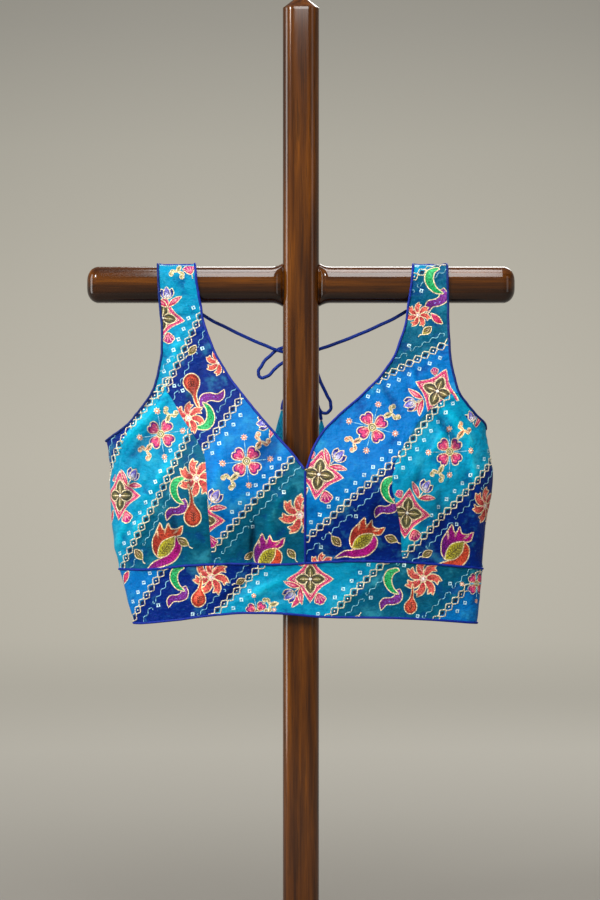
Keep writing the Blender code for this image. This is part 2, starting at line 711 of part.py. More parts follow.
def armhole_piping(side, root):
    """A closed loop round the armhole, front up and back down."""
    front, back = (arm_places(face, side, BEAD) for face in (FRONT, BACK))
    points = beads(FRONT, front[:-1]) + beads(BACK, back)[:0:-1]
    tube(f"piping_armhole_{side}", points, BEAD, "royal_piping", root, closed=True)


def ring_piping(name, height, root):
    """A bead all round at a height that depends on the face and turn, open at the centre back."""
    points = []
    middle = [centre_back(side, BACK_WAIST * MM)[0] for side in SIDES]
    half = BAND_COLUMNS // 2
    runs = ((BACK, middle[0], 0, half), (FRONT, 0, HALF_TURN, BAND_COLUMNS), (BACK, HALF_TURN, middle[1], half))
    for face, start, end, steps in runs:
        for turn, _ in between((start, 0), (end, 0), steps)[0 if not points else 1 :]:
            points.append(lifted(face, (turn, height(face, turn)), BEAD_LIFT))
    tube(name, points, BEAD, "royal_piping", root)


def centre_piping(root):
    turn = turn_at(CENTRE_FRONT * MM, BACK_WAIST * MM)
    low, high = waist(FRONT, turn) + BEAD + GAP, (V_HEIGHT - 3) * MM
    points = []
    for rise in spaced([low, high], ROW * MM):
        points.append(lifted(FRONT, (turn_at(CENTRE_FRONT * MM, rise), rise), BEAD_LIFT))
    tube("piping_centre_front", points, BEAD, "royal_piping", root)


def smooth_route(points, step):
    """A smooth curve through a route's points, with a point at every step or so."""
    points = np.array(points) * MM
    lengths = np.linalg.norm(np.diff(points, axis=0), axis=1)
    places = np.concatenate([[0], np.cumsum(lengths)])
    axes = [smooth_curve(places, points[:, axis]) for axis in range(3)]
    count = max(4, round(places[-1] / step))
    return [Vector([axis(places[-1] * i / count) for axis in axes]) for i in range(count + 1)]


def make_dori(root):
    for name, route in DORI_ROUTES.items():
        tube(name, smooth_route(route, 5 * CORD), CORD, "navy_cord", root, sides=2)
    knot = bmesh.new()
    bmesh.ops.create_uvsphere(knot, u_segments=12, v_segments=8, radius=1)
    for vert in knot.verts:
        vert.co = Vector([c + v * r for c, v, r in zip(KNOT, vert.co, KNOT_RADII)]) * MM
    placed("dori_knot", mesh_of("dori_knot", knot), "navy_cord", root)


def make_latkan(name, top, root):
    """A small stuffed cone of the blouse's cloth at the end of a tail."""
    rings = []
    for radius, drop in LATKAN_PROFILE:
        ring = circle(radius, LATKAN_SIDES)
        rings.append([((top[0] + x) * MM, (top[1] + y) * MM, (top[2] + drop) * MM) for x, y in ring])
    placed(name, mesh_of(name, loft(rings)), "silk_teal", root)


def main():
    for old in list(bpy.data.objects):
        bpy.data.objects.remove(old, do_unlink=True)
    root = bpy.data.objects.new("choli_on_stand", None)
    bpy.context.scene.collection.objects.link(root)

    make_base(root)
    cutter = make_post(root)
    for side in SIDES:
        make_arm(side, cutter, root)

    for side, centre, flank in (("left", "silk_azure", "silk_cyan"), ("right", "silk_navy", "silk_teal")):
        front_centre(side, root, centre)
        front_side(side, root, flank)
        back_panel(side, root, centre)
    make_bands(root)
    make_placket(root)

    for side in SIDES:
        neck_piping(side, root)
        armhole_piping(side, root)
    centre_piping(root)
    ring_piping("piping_waist", waist, root)
    ring_piping("piping_hem", hem, root)

    make_dori(root)
    for name, top in LATKANS.items():
        make_latkan(name, top, root)


main()
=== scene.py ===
# %% [markdown]
# # A choli blouse on a wooden cross stand
# A choli is a short, fitted blouse. This one is cut from silk that is printed in slanting stripes of four
# blues, sewn with blue piping, and hung by its straps on a crossbar. The solids of the same blouse come in
# as a frame, at their real size; each lesson below remakes one piece finely around that frame.

# %% Load the frame
import math

import bpy
import numpy as np
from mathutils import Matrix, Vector, geometry


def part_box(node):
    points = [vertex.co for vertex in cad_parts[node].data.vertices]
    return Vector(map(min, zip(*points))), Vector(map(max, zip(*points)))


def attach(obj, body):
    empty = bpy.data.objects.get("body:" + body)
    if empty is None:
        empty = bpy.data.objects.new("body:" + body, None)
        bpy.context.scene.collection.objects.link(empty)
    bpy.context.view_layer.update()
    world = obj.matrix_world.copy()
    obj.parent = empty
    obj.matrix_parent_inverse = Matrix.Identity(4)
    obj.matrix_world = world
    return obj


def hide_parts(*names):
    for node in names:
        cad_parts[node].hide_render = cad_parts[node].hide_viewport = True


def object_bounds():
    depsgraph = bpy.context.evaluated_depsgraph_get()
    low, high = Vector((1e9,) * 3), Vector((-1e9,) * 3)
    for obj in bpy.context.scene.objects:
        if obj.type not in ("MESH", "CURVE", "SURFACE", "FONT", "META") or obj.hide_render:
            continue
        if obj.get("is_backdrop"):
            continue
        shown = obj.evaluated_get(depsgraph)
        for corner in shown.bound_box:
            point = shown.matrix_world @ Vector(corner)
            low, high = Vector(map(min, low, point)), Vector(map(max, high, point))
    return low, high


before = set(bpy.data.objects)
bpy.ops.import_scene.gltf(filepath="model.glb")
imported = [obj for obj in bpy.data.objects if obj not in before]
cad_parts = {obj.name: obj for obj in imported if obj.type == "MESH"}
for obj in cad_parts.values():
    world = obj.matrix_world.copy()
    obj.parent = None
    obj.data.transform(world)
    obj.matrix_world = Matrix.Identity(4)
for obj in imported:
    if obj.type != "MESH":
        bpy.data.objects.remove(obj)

MM = 0.001
BODY = "root"
CAD_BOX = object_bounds()
print("solids from", [round(c, 3) for c in CAD_BOX[0]], "to", [round(c, 3) for c in CAD_BOX[1]])

# %% Helpers that every piece uses
def in_scene(name, data):
    """A new object in the scene."""
    node = bpy.data.objects.new(name, data)
    bpy.context.scene.collection.objects.link(node)
    return node


def mesh_of(name, spots, faces, *materials, flat=False):
    """A mesh through places in metres."""
    mesh = bpy.data.meshes.new(name)
    mesh.from_pydata(np.asarray(spots).tolist(), [], faces, shade_flat=flat)
    for material in materials:
        mesh.materials.append(material)
    return mesh


def ring_faces(rows, count, turned=False):
    """The faces between closed rows of points, with as many points in each row as in the next."""
    pairs = [(a, a + 1 if (a + 1) % count else a + 1 - count) for a in range((rows - 1) * count)]
    return [(a, a + count, b + count, b) if turned else (a, b, b + count, a + count) for a, b in pairs]


def mounted(node, slot, *replaced):
    """Puts a piece on the body, in place of the frame's nodes that it stands for."""
    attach(node, BODY)
    if replaced:
        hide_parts(*replaced)
    return node


print("helpers ready")

# %% [markdown]
# The camera stands level with the blouse and far off, as a product photographer would place it, so that
# upright lines stay upright. Its lens follows from the distance and from the height that the picture spans.

# %% Camera
VIEW_DISTANCE = 4.0
VIEW_HEIGHT = 0.972  # metres of the stand that fit the picture from top to bottom
VIEW_CENTRE = (-0.001, 0.540)
view = bpy.data.cameras.new("studio_camera")
view.lens = view.sensor_width * VIEW_DISTANCE / VIEW_HEIGHT
camera = in_scene("studio_camera", view)
camera.location = (VIEW_CENTRE[0], -VIEW_DISTANCE, VIEW_CENTRE[1])
camera.rotation_euler = (math.pi / 2, 0, 0)
bpy.context.scene.camera = camera
print("camera lens", round(view.lens), "mm")

# %% [markdown]
# Every finish below is a small network of shader nodes. Written node by node it would fill pages, so two
# classes do the joining: `Signal` is a socket that can stand in a sum, and `Look` is a material whose nodes
# all come from one method. With them, shader maths reads like ordinary Python.

# %% Signals
def linear(red, green, blue):
    """A colour as the eye counts it, 0 to 255, in the light values that shaders use."""
    shares = [channel / 255 for channel in (red, green, blue)]
    return tuple(s / 12.92 if s < 0.04045 else ((s + 0.055) / 1.055) ** 2.4 for s in shares)


class Signal:
    """The output of a node, which can stand in a sum or a product."""

    def __init__(self, look, socket):
        self.look, self.socket = look, socket

    def math(self, operation, *others):
        return self.look.node("Math", {"operation": operation}, {0: self, **dict(enumerate(others, 1))})

    def __add__(self, other):
        return self.math("ADD", other)

    def __mul__(self, other):
        return self.math("MULTIPLY", other)

    def __sub__(self, other):
        return self.math("SUBTRACT", other)

    def __rsub__(self, other):
        return self.look.node("Math", {"operation": "SUBTRACT"}, {0: other, 1: self})

    __radd__, __rmul__ = __add__, __mul__

    def ramp(self, low, high):
        """0 below low, 1 above high, and smooth between them."""
        limits = {"Value": self, "From Min": low, "From Max": high}
        return self.look.node("MapRange", {"interpolation_type": "SMOOTHSTEP"}, limits)


print("a middle grey is", [round(share, 3) for share in linear(128, 128, 128)], "in light")

# %% Looks
class Look:
    """A material under construction."""

    def __init__(self, name, **constants):
        self.material = bpy.data.materials.new(name)
        self.material.use_nodes = True
        self.tree = self.material.node_tree
        self.finish(**constants)

    def finish(self, **values):
        """Feeds the shader's own sockets, and gives the material."""
        for name, value in values.items():
            self.feed(self.tree.nodes["Principled BSDF"].inputs[name.replace("_", " ")], value)
        return self.material

    def feed(self, socket, value):
        if isinstance(value, Signal):
            self.tree.links.new(value.socket, socket)
        else:
            socket.default_value = (*value, 1) if socket.type == "RGBA" else value

    def node(self, kind, settings, sockets, output=0):
        made = self.tree.nodes.new("ShaderNode" + kind)
        for name, value in settings.items():
            if name == "stops":
                self.set_stops(made.color_ramp, *value)
            else:
                setattr(made, name, value)
        for name, value in sockets.items():
            self.feed(made.inputs[name], value)
        return Signal(self, made.outputs[output])

    def set_stops(self, ramp, stops, between):
        ramp.interpolation = between
        while len(ramp.elements) < len(stops):
            ramp.elements.new(1)
        for element, (place, colour) in zip(ramp.elements, stops):
            element.position, element.color = place, (*colour, 1)

    def blend(self, stops, value, between="LINEAR"):
        """A colour for each value from 0 to 1, running or jumping from stop to stop."""
        return self.node("ValToRGB", {"stops": (stops, between)}, {0: value})

    def mix(self, first, second, share, how="MIX"):
        colours = {"Factor": share, 6: first, 7: second}
        return self.node("Mix", {"data_type": "RGBA", "blend_type": how}, colours, output=2)

    def attribute(self, name, output="Fac"):
        return self.node("Attribute", {"attribute_name": name}, {}, output)

    def place(self):
        """Where a spot is in its own object."""
        return self.node("TexCoord", {}, {}, "Object")

    def noise(self, place, scale, detail=2.0, roughness=0.5):
        """Clouds. Three scales make them finer along the axes with the larger ones."""
        if isinstance(scale, tuple):
            place = self.node("VectorMath", {"operation": "MULTIPLY"}, {0: place, 1: scale})
            scale = 1.0
        sockets = {"Vector": place, "Scale": scale, "Detail": detail, "Roughness": roughness}
        return self.node("TexNoise", {}, sockets)

    def bump(self, height, distance, strength=1.0, under=None):
        sockets = {"Height": height, "Distance": distance, "Strength": strength}
        if under is not None:
            sockets["Normal"] = under
        return self.node("Bump", {}, sockets)


print("materials can be mixed")

# %% [markdown]
# The blouse's shape is a skin: level rings, each an ellipse that is flatter towards the bar, with a front
# and a back that meet at the side seams. Two numbers name a place on it: the turn, from 0 at the left side
# seam to pi at the right, and the rise, a height measured along the cloth that runs on over the bar. A
# cloth simulation could drape the blouse too, but it would settle a little differently after every change,
# while rings hold the fit. All cloth sizes are in millimetres.

# %% The stand's sizes, read from the frame
post_low, post_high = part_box("stand_post")
arm_low, arm_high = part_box("stand_arm_left")
STOCK = (post_high[0] - post_low[0]) / MM
STOCK_ROUND = 12
POST_TOP = post_high[2] / MM
BAR_HEIGHT = (arm_low[2] + arm_high[2]) / 2 / MM
BAR_LENGTH = -2 * arm_low[0] / MM
GAP = 0.3  # between the solids
CLOTH = 2.0  # the thickness of the solids' cloth
STRAP_DEPTH = STOCK / 2 + GAP + CLOTH / 2
WRAP_RADIUS = STOCK_ROUND + GAP + CLOTH / 2
WRAP_START = BAR_HEIGHT + STOCK / 2 - STOCK_ROUND
SHOULDER = WRAP_START + WRAP_RADIUS * math.pi / 2 + STOCK / 2 - STOCK_ROUND
print("bar at", round(BAR_HEIGHT, 1), "mm, stock", round(STOCK, 1), "mm, straps meet at", round(SHOULDER, 1))

# %% Rings and swellings of the skin
FRONT, BACK = "front", "back"
SIDES = ("left", "right")
RINGS = {
    "height": (350, 384, 414, 442, 470, 500, 530, 552, 600, 650, 695, 740),
    "left": (-179, -188, -195, -201, -204, -205, -206, -209, -209, -209, -209, -209),
    "right": (189, 193, 195, 197, 200.5, 206, 204.5, 200, 199.5, 199.5, 199.5, 199.5),
    FRONT: (38, 39, 41, 50, 58, 63, 61, 55, 40, 27, 20.8, 20.8),
    BACK: (34, 35, 36, 38, 40, 41, 41, 40, 34, 26, 20.8, 20.8),
    "flat": (0, 0, 0, 0, 0, 0, 0, 0, 0.15, 0.6, 1, 1),
}
# Rows of a swelling or a fold: x, height, lean in degrees, half length, half width, depth
SWELLS = {
    FRONT: (
        (-101, 498, 0, 46, 48, 12), (103, 497, 0, 46, 48, 12), (-52, 438, 3, 26, 9, -2.6),
        (-150, 556, 42, 30, 10, 2.2), (-168, 470, 24, 34, 13, -2.4), (168, 545, -40, 26, 10, 2),
        (158, 462, -28, 32, 13, -2.2), (46, 452, -18, 30, 11, -2),
    ),
    BACK: (
        (-112, 470, 18, 46, 19, -3.2), (-66, 452, -6, 40, 17, 2.6), (70, 458, 8, 42, 18, -2.8),
        (126, 482, -22, 46, 19, 2.8),
    ),
}


def smooth_curve(places, values):
    """A function that passes smoothly through the values and holds the end values beyond them."""
    places, values = np.array(places, float), np.array(values, float)
    slopes = np.gradient(values, places)

    def at(place):
        place = np.clip(place, places[0], places[-1])
        i = np.clip(np.searchsorted(places, place) - 1, 0, len(places) - 2)
        step = places[i + 1] - places[i]
        t = (place - places[i]) / step
        start = values[i] + slopes[i] * step * t
        end = values[i + 1] - slopes[i + 1] * step * (1 - t)
        share = t * t * (3 - 2 * t)
        return start * (1 - share) + end * share

    return at


print(len(RINGS["height"]), "rings, with", sum(map(len, SWELLS.values())), "swellings")

# %% The skin
RING = {name: smooth_curve(RINGS["height"], row) for name, row in RINGS.items() if name != "height"}


def reach(rise):
    """The middle and half the width of the ring at a rise."""
    level = np.minimum(rise, WRAP_START)
    left, right = RING["left"](level), RING["right"](level)
    return (left + right) / 2, (right - left) / 2


def turn_at(x, rise):
    middle, half = reach(rise)
    return np.arccos(np.clip((middle - x) / half, -1, 1))


def hills(rows, x, level):
    """The sum of soft crests and troughs, each long one way and narrow the other."""
    total = 0
    for at_x, height, lean, length, width, depth in rows:
        angle = math.radians(lean)
        east, north = x - at_x, level - height
        along = east * math.sin(angle) + north * math.cos(angle)
        across = east * math.cos(angle) - north * math.sin(angle)
        total = total + depth * np.exp(-((along / length) ** 2) - (across / width) ** 2)
    return total


def skin(face, turn, rise):
    """The middle of the cloth at a place, before its small folds."""
    level = np.minimum(rise, WRAP_START)
    middle, half = reach(rise)
    x = middle - half * np.cos(turn)
    flat = np.clip(RING["flat"](level), 0, 1)
    depth = np.maximum(RING[face](level), STRAP_DEPTH)
    away = depth * ((1 - flat) * np.sin(turn) + flat)
    away = away + hills(SWELLS[face], x, level) * np.sin(turn) ** 2 * (1 - flat)
    bend = np.clip((rise - WRAP_START) / WRAP_RADIUS, 0, math.pi / 2)
    level = level + WRAP_RADIUS * np.sin(bend)
    over = np.maximum(rise - WRAP_START - WRAP_RADIUS * math.pi / 2, 0)
    away = away - WRAP_RADIUS * (1 - np.cos(bend)) - over
    return np.stack(np.broadcast_arrays(x, -away if face == FRONT else away, level), -1)


print("the cups stand", round(-skin(FRONT, turn_at(-101, 498), 498)[1]), "mm in front of the bar's middle")

# %% [markdown]
# Cloth is printed flat and worn round, so a print only looks right if each spot of it is found on the flat
# cloth first. A `ClothMap` is a fine table of one face of the blouse: for a distance along the ring from
# the middle and a height, it knows the spot in space and which way is out. Small folds are added here, as
# soft crests and troughs, so that everything laid on the cloth later follows them.

# %% Small folds
FOLDS = {
    FRONT: (
        (-173, 566, 44, 34, 4.5, 1.5), (-166, 552, 40, 30, 5.5, -1.5), (-150, 512, 36, 30, 5, 1),
        (-182, 500, 18, 26, 4.5, -1.2), (-170, 462, 30, 24, 6, 1.2), (-192, 452, 20, 22, 4, 1),
        (-134, 452, -12, 26, 5, -1), (-118, 500, -6, 34, 3.6, -0.9), (-88, 520, 8, 42, 4.4, 0.8),
        (-52, 436, 4, 24, 2.6, -2), (-30, 446, -14, 22, 4.5, 1.1), (-36, 540, 40, 14, 9, -2.2),
        (-22, 486, 28, 24, 6, 1), (-116, 604, 20, 28, 5, -1), (-136, 640, 12, 30, 4, 0.7),
        (-112, 668, 72, 12, 3.4, 0.7), (-128, 684, 80, 15, 3, -0.7), (-131, 652, 76, 14, 3, 0.6),
        (168, 566, -38, 28, 4, 1.4), (158, 560, -34, 28, 4.2, -1.4), (184, 520, -14, 30, 4.6, 1.1),
        (142, 544, 34, 34, 5, 1), (128, 520, 22, 30, 4.4, -1), (150, 470, -6, 26, 5, -1),
        (186, 466, -20, 22, 4.2, 1.1), (120, 452, 24, 20, 4.2, 0.9), (78, 470, 16, 30, 5, -0.9),
        (52, 440, -18, 20, 4, 1), (26, 468, -30, 26, 5, 0.8), (96, 596, -32, 24, 5, -0.8),
        (122, 612, -14, 24, 4, 0.7), (134, 664, -70, 14, 3.2, 0.6), (140, 694, -78, 14, 3, -0.6),
        (-40, 392, 62, 26, 5, 1.2), (-72, 388, 48, 18, 5, -1.3), (-108, 386, 30, 14, 5, 0.8),
        (-16, 384, 74, 22, 4.5, -0.8), (60, 388, 66, 28, 5.5, 0.8), (122, 384, -60, 22, 5, -0.7),
        (168, 386, 30, 16, 4.5, 0.8),
    ),
    BACK: (
        (-160, 500, -24, 40, 7, 1.6), (-142, 488, -20, 36, 5.5, -1.5), (-176, 448, -12, 28, 5, 1.2),
        (-96, 440, 14, 30, 5, 1.2), (-44, 446, -8, 24, 4, -1), (-84, 498, 22, 34, 6, -1.2),
        (-128, 560, 34, 34, 5.5, 1), (-122, 628, 16, 30, 4.6, -0.8), (-134, 680, 78, 15, 3.2, 0.6),
        (148, 504, 26, 42, 6.5, 1.6), (128, 480, 18, 34, 5, -1.3), (180, 462, 14, 28, 5, 1.1),
        (88, 436, -16, 28, 4.6, 1.1), (38, 450, 6, 26, 4.2, -0.9), (84, 506, -24, 34, 6, -1.1),
        (126, 566, -36, 34, 5.5, 1), (128, 640, -14, 30, 4.6, -0.8), (138, 686, -76, 14, 3.2, 0.6),
        (-70, 384, -60, 26, 5, 1), (-126, 386, 40, 18, 5, -0.9), (64, 386, 56, 24, 5, 1),
        (132, 384, -40, 18, 5, -0.9),
    ),
}
print(len(FOLDS[FRONT]), "folds in front and", len(FOLDS[BACK]), "behind")

# %% The cloth map
ROW_STEP = 1.5
COLUMN_STEP = 1.0
LOWEST = 335  # the first row of the map, below the hem
WIDEST = 300  # the longest way round from the middle to past a side seam
PAST_SEAM = 0.2  # how far the skin is followed past each side seam, in turn
TURNS = 1201
FOLD_HEIGHT = 2.2
PUCKER = 0.7  # how unevenly the seams draw in the cloth
RIPPLE = 0.26  # height of the print's own slight cockle


def unit(vectors):
    return vectors / np.maximum(np.linalg.norm(vectors, axis=-1, keepdims=True), 1e-9)


class ClothMap:
    def __init__(self, face):
        self.face = face
        self.rises = np.arange(LOWEST, SHOULDER + 8, ROW_STEP)
        self.turns = np.linspace(-PAST_SEAM, math.pi + PAST_SEAM, TURNS)
        rings = skin(face, self.turns[None, :], self.rises[:, None])
        steps = np.linalg.norm(np.diff(rings, axis=1), axis=-1)
        arcs = np.concatenate([np.zeros((len(rings), 1)), np.cumsum(steps, axis=1)], axis=1)
        middle = [np.interp(0, ring[:, 0], arc) for ring, arc in zip(rings, arcs)]
        self.arcs = arcs - np.array(middle)[:, None]
        self.across = np.arange(-WIDEST, WIDEST + 1, COLUMN_STEP)
        self.turn_table = np.array([np.interp(self.across, arc, self.turns) for arc in self.arcs])
        self.grooves = []
        self.settle()

    def settle(self):
        """Works out every spot, with the folds, and the way out of the cloth there."""
        base = skin(self.face, self.turn_table, self.rises[:, None])
        u, v = self.across[None, :], self.rises[:, None]
        relief = FOLD_HEIGHT * hills(FOLDS[self.face], base[..., 0], v)
        relief = relief + RIPPLE * np.sin(u * 0.31 + 1.7 * np.sin(v * 0.083)) * np.sin(v * 0.23 + u * 0.05)
        for path, width, depth in self.grooves:
            gathers = 1 + PUCKER * np.sin(v * 0.62 + u * 0.34) * np.sin(v * 0.23 - u * 0.11)
            relief = relief + depth * gathers * np.exp(-((self.distance(path) / width) ** 2))
        self.relief = relief
        self.base = base + self.outward(base) * relief[..., None]
        self.out = self.outward(self.base)

    def outward(self, spots):
        across, up = np.gradient(spots, axis=1), np.gradient(spots, axis=0)
        return unit(np.cross(across, up)) * (1 if self.face == FRONT else -1)

    def distance(self, path):
        """How far each spot of the table is from a line on the flat cloth."""
        u, v = np.meshgrid(self.across, self.rises)
        path = path[:: max(1, len(path) // 40)]
        nearest = np.full(u.shape, 1e9)
        for start, end in zip(path[:-1], path[1:]):
            run = end - start
            along = ((u - start[0]) * run[0] + (v - start[1]) * run[1]) / max(run @ run, 1e-9)
            along = np.clip(along, 0, 1)
            away = np.hypot(u - start[0] - along * run[0], v - start[1] - along * run[1])
            nearest = np.minimum(nearest, away)
        return nearest

    def read(self, table, columns, place, rise):
        """Reads a table between its entries."""
        i = np.clip((rise - self.rises[0]) / ROW_STEP, 0, len(self.rises) - 1.001)
        j = np.clip((place - columns[0]) / (columns[1] - columns[0]), 0, len(columns) - 1.001)
        low, left = i.astype(int), j.astype(int)
        up, right = i - low, j - left
        if table.ndim == 3:
            up, right = up[..., None], right[..., None]
        below = table[low, left] * (1 - right) + table[low, left + 1] * right
        above = table[low + 1, left] * (1 - right) + table[low + 1, left + 1] * right
        return below * (1 - up) + above * up

    def flat(self, turn, rise):
        """The spot on the flat cloth, in millimetres, of a place on the skin."""
        turn, rise = np.broadcast_arrays(np.asarray(turn, float), np.asarray(rise, float))
        return np.stack([self.read(self.arcs, self.turns, turn, rise), rise], -1)

    def flat_at(self, x, rise):
        """The spot on the flat cloth that lies at a distance to the right of the stand's middle."""
        return self.flat(turn_at(np.asarray(x, float), np.asarray(rise, float)), rise)

    def spots(self, flat, out=0.0):
        """Places in space, in metres, over spots of the flat cloth, moved out by millimetres."""
        out = np.broadcast_to(np.asarray(out, float), flat.shape[:1])[:, None]
        return (self.read(self.base, self.across, *flat.T) + self.normals(flat) * out) * MM

    def normals(self, flat):
        return unit(self.read(self.out, self.across, *flat.T))

    def folded(self, flat):
        """How far the folds lift the cloth there."""
        return self.read(self.relief, self.across, *flat.T)


MAP = {face: ClothMap(face) for face in (FRONT, BACK)}
bust = MAP[FRONT].flat([0, math.pi], 498)[:, 0]
print("way round the front at the bust:", round(float(bust[1] - bust[0])), "mm")

# %% [markdown]
# The edges and seams are the same lines that the pattern cutter drew: armholes, necklines, the shaped
# princess seams over the bust, and the seam of the slip along each armhole. Each is given as a few heights
# with their distance from the middle, and becomes a smooth line on the flat cloth.

# %% Edges and seams
V_HEIGHT = 520.6
CENTRE_FRONT = 4.5
UNDER_WAIST = 400  # where upright lines start, before they are cut off at the band
BACK_NECK = 486
SLIP_END = {"left": 500, "right": 545}
BACK_WAIST = 412
HEM_LEVEL = 352
BEAD = 1.6
BEAD_LIFT = 0.7  # how far the piping's middle is out of the cloth's
BACK_SCOOP = 5
ARMHOLE = {
    "left": ((551.5, -209), (557.1, -201.9), (566, -189.4), (579.7, -177), (592, -167.6), (603, -160.7),
             (615.6, -156.4), (629, -153.5), (657, -150.8), (698, -153.4), (740, -156.2)),
    "right": ((564, 199.5), (569, 197.3), (575.3, 192.6), (582, 186.4), (591, 179), (598, 173.4),
              (607.5, 169), (615.6, 166.9), (629, 163.7), (657, 160.9), (698, 159.7), (740, 158.8)),
}
NECK = {
    "left": ((520.6, 4.5), (549.2, -18.4), (574.6, -40.6), (604, -64.2), (629, -81.6), (656.6, -95.4),
             (697.7, -106.5), (740, -113.4)),
    "right": ((520.6, 4.5), (549.2, 15.5), (574.6, 36), (604, 68.6), (629, 90.7), (656.6, 104.5),
              (697.7, 113.9), (740, 120.2)),
}
BACK_NECKLINE = {
    "left": ((486, 0), (490, -18), (507, -37), (540, -56), (575, -72), (610, -86), (650, -100),
             (690, -110), (740, -113.4)),
    "right": ((486, 0), (490, 18), (507, 37), (540, 56), (575, 73), (610, 91), (650, 107),
              (690, 116.5), (740, 120.2)),
}
PRINCESS = {
    "left": ((410, -95), (450, -97), (480, -99), (505, -100), (520, -101), (540, -105.5), (557, -115.5),
             (577, -128.5), (591, -136), (604, -145)),
    "right": ((410, 109), (440, 107), (463, 105), (486, 100), (505, 97), (519, 99), (538, 106),
              (557, 118), (577, 132), (591, 148), (601, 161.8)),
}
SLIP_SEAM = {
    "left": ((500, -205), (515, -199), (529.5, -195), (543, -191.5), (553.6, -186.6), (561, -181),
             (569, -171.5), (578, -163.3), (587, -156.4), (595.6, -150.9), (604, -145)),
    "right": ((545, 201.4), (548.6, 199), (555, 196), (561, 192), (566, 186.4), (572, 180),
              (579, 175), (586.4, 170.3), (594, 166), (601, 161.8)),
}
FRONT_WAIST = ((-196, 412), (-164, 412), (-126, 416), (-20, 418), (90, 421), (150, 417), (196, 412))
HEM_RISE = ((-185, 352), (-141, 356.5), (-96, 362), (-50, 364), (20, 360), (122, 357.5), (195, 352))
EDGE_POINTS = 181
LINE_POINTS = 40


def edge(face, points, level_start=False):
    """A line on the flat cloth through (height, x) points, from the bottom up. One that starts level, as
    under the arm, gains height as the square of its share."""
    power = 2 if level_start else 1
    rises = np.array([min(height, SHOULDER) for height, _ in points])
    if points[-1][0] >= WRAP_START:
        rises[-1] = SHOULDER
    shares = ((rises - rises[0]) / (rises[-1] - rises[0])) ** (1 / power)
    turns = [turn_at(x, rise) for (_, x), rise in zip(points, rises)]
    share = np.linspace(0, 1, EDGE_POINTS)
    rise = rises[0] + (rises[-1] - rises[0]) * share**power
    return MAP[face].flat(smooth_curve(shares, turns)(share), rise)


def sign(side):
    """+1 where inward is to the right, as at the left side."""
    return 1 if side == "left" else -1


def scooped(points, side):
    """A back armhole: the front one, cut deeper between the side seam and the shoulder."""
    low, high = points[0][0], points[-1][0]
    depth = sign(side) * BACK_SCOOP
    return [(h, x + depth * math.sin(math.pi * (h - low) / (high - low))) for h, x in points]


def on_sides(face, points, **how):
    return {side: edge(face, points[side], **how) for side in SIDES}


SCOOPED = {side: scooped(ARMHOLE[side], side) for side in SIDES}
ARM_EDGE = {
    FRONT: on_sides(FRONT, ARMHOLE, level_start=True),
    BACK: on_sides(BACK, SCOOPED, level_start=True),
}
NECK_EDGE = {FRONT: on_sides(FRONT, NECK), BACK: on_sides(BACK, BACK_NECKLINE, level_start=True)}
PRINCESS_EDGE, SLIP_EDGE = on_sides(FRONT, PRINCESS), on_sides(FRONT, SLIP_SEAM)


def travelled(path):
    """How far each point of a line is along it."""
    return np.concatenate([[0], np.cumsum(np.linalg.norm(np.diff(path, axis=0), axis=1))])


print("left neckline, V to shoulder:", round(travelled(NECK_EDGE[FRONT]["left"])[-1]), "mm")

# %% Lines on the cloth
def shifted(path, distance):
    """A line moved sideways on the flat cloth, to the right of its own direction."""
    run = unit(np.gradient(path, axis=0))
    return path + distance * np.stack([run[:, 1], -run[:, 0]], -1)


def resampled(path, step, closed=False):
    """The same line with a point at every step or so."""
    if closed:
        path = np.vstack([path, path[:1]])
    places = travelled(path)
    stations = np.linspace(0, places[-1], max(2, math.ceil(places[-1] / step)) + 1)
    even = np.stack([np.interp(stations, places, column) for column in path.T], -1)
    return even[:-1] if closed else even


def waist_height(face, x):
    return smooth_curve(*zip(*FRONT_WAIST))(x) if face == FRONT else BACK_WAIST + 0 * x


def hem_height(face, x):
    return smooth_curve(*zip(*HEM_RISE))(x) + BEAD


def ring_lines(height):
    """A line round each face, at a height that depends on the distance from the middle."""
    turns = np.linspace(0, math.pi, EDGE_POINTS)
    return {face: MAP[face].flat(turns, height(face, skin(face, turns, BACK_WAIST)[:, 0])) for face in MAP}


def centre_line(face, x, low, high):
    return MAP[face].flat_at(np.full(LINE_POINTS, x), np.linspace(low, high, LINE_POINTS))


def seam_line(face, side, low, high):
    """The side seam between two heights."""
    return MAP[face].flat(0.0 if side == "left" else math.pi, np.linspace(low, high, LINE_POINTS))


# %% Seams pull the cloth in
SEAM_GROOVE = (1.6, -1.1)  # half width and depth of the valley along a plain seam
SEAM_PUFF = (6.5, 0.8)  # the cloth stands up a little beside it
EDGE_PUFF = (4.5, 0.8)  # and beside a piped edge
for face, waist in ring_lines(waist_height).items():
    edges = [lines[face][side] for lines in (NECK_EDGE, ARM_EDGE) for side in SIDES]
    MAP[face].grooves += [(path, *EDGE_PUFF) for path in [waist] + edges]
for side in SIDES:
    for seam in (PRINCESS_EDGE[side], SLIP_EDGE[side]):
        MAP[FRONT].grooves += [(seam, *SEAM_GROOVE), (seam, *SEAM_PUFF)]
for cloth in MAP.values():
    cloth.settle()
print(sum(len(cloth.grooves) for cloth in MAP.values()), "seams and edges settled")

# %% [markdown]
# A panel's outline runs to the middle of the piping on every edge, so that the bead hides the cut. Where
# two panels are sewn together they share a line, which the map has already pulled into a valley.

# %% Outlines of the panels
WAIST, HEM = ring_lines(waist_height), ring_lines(hem_height)
SEAM_REST = 0.5  # how far from its corner a side seam ends
SHOULDER_REST = 0.2


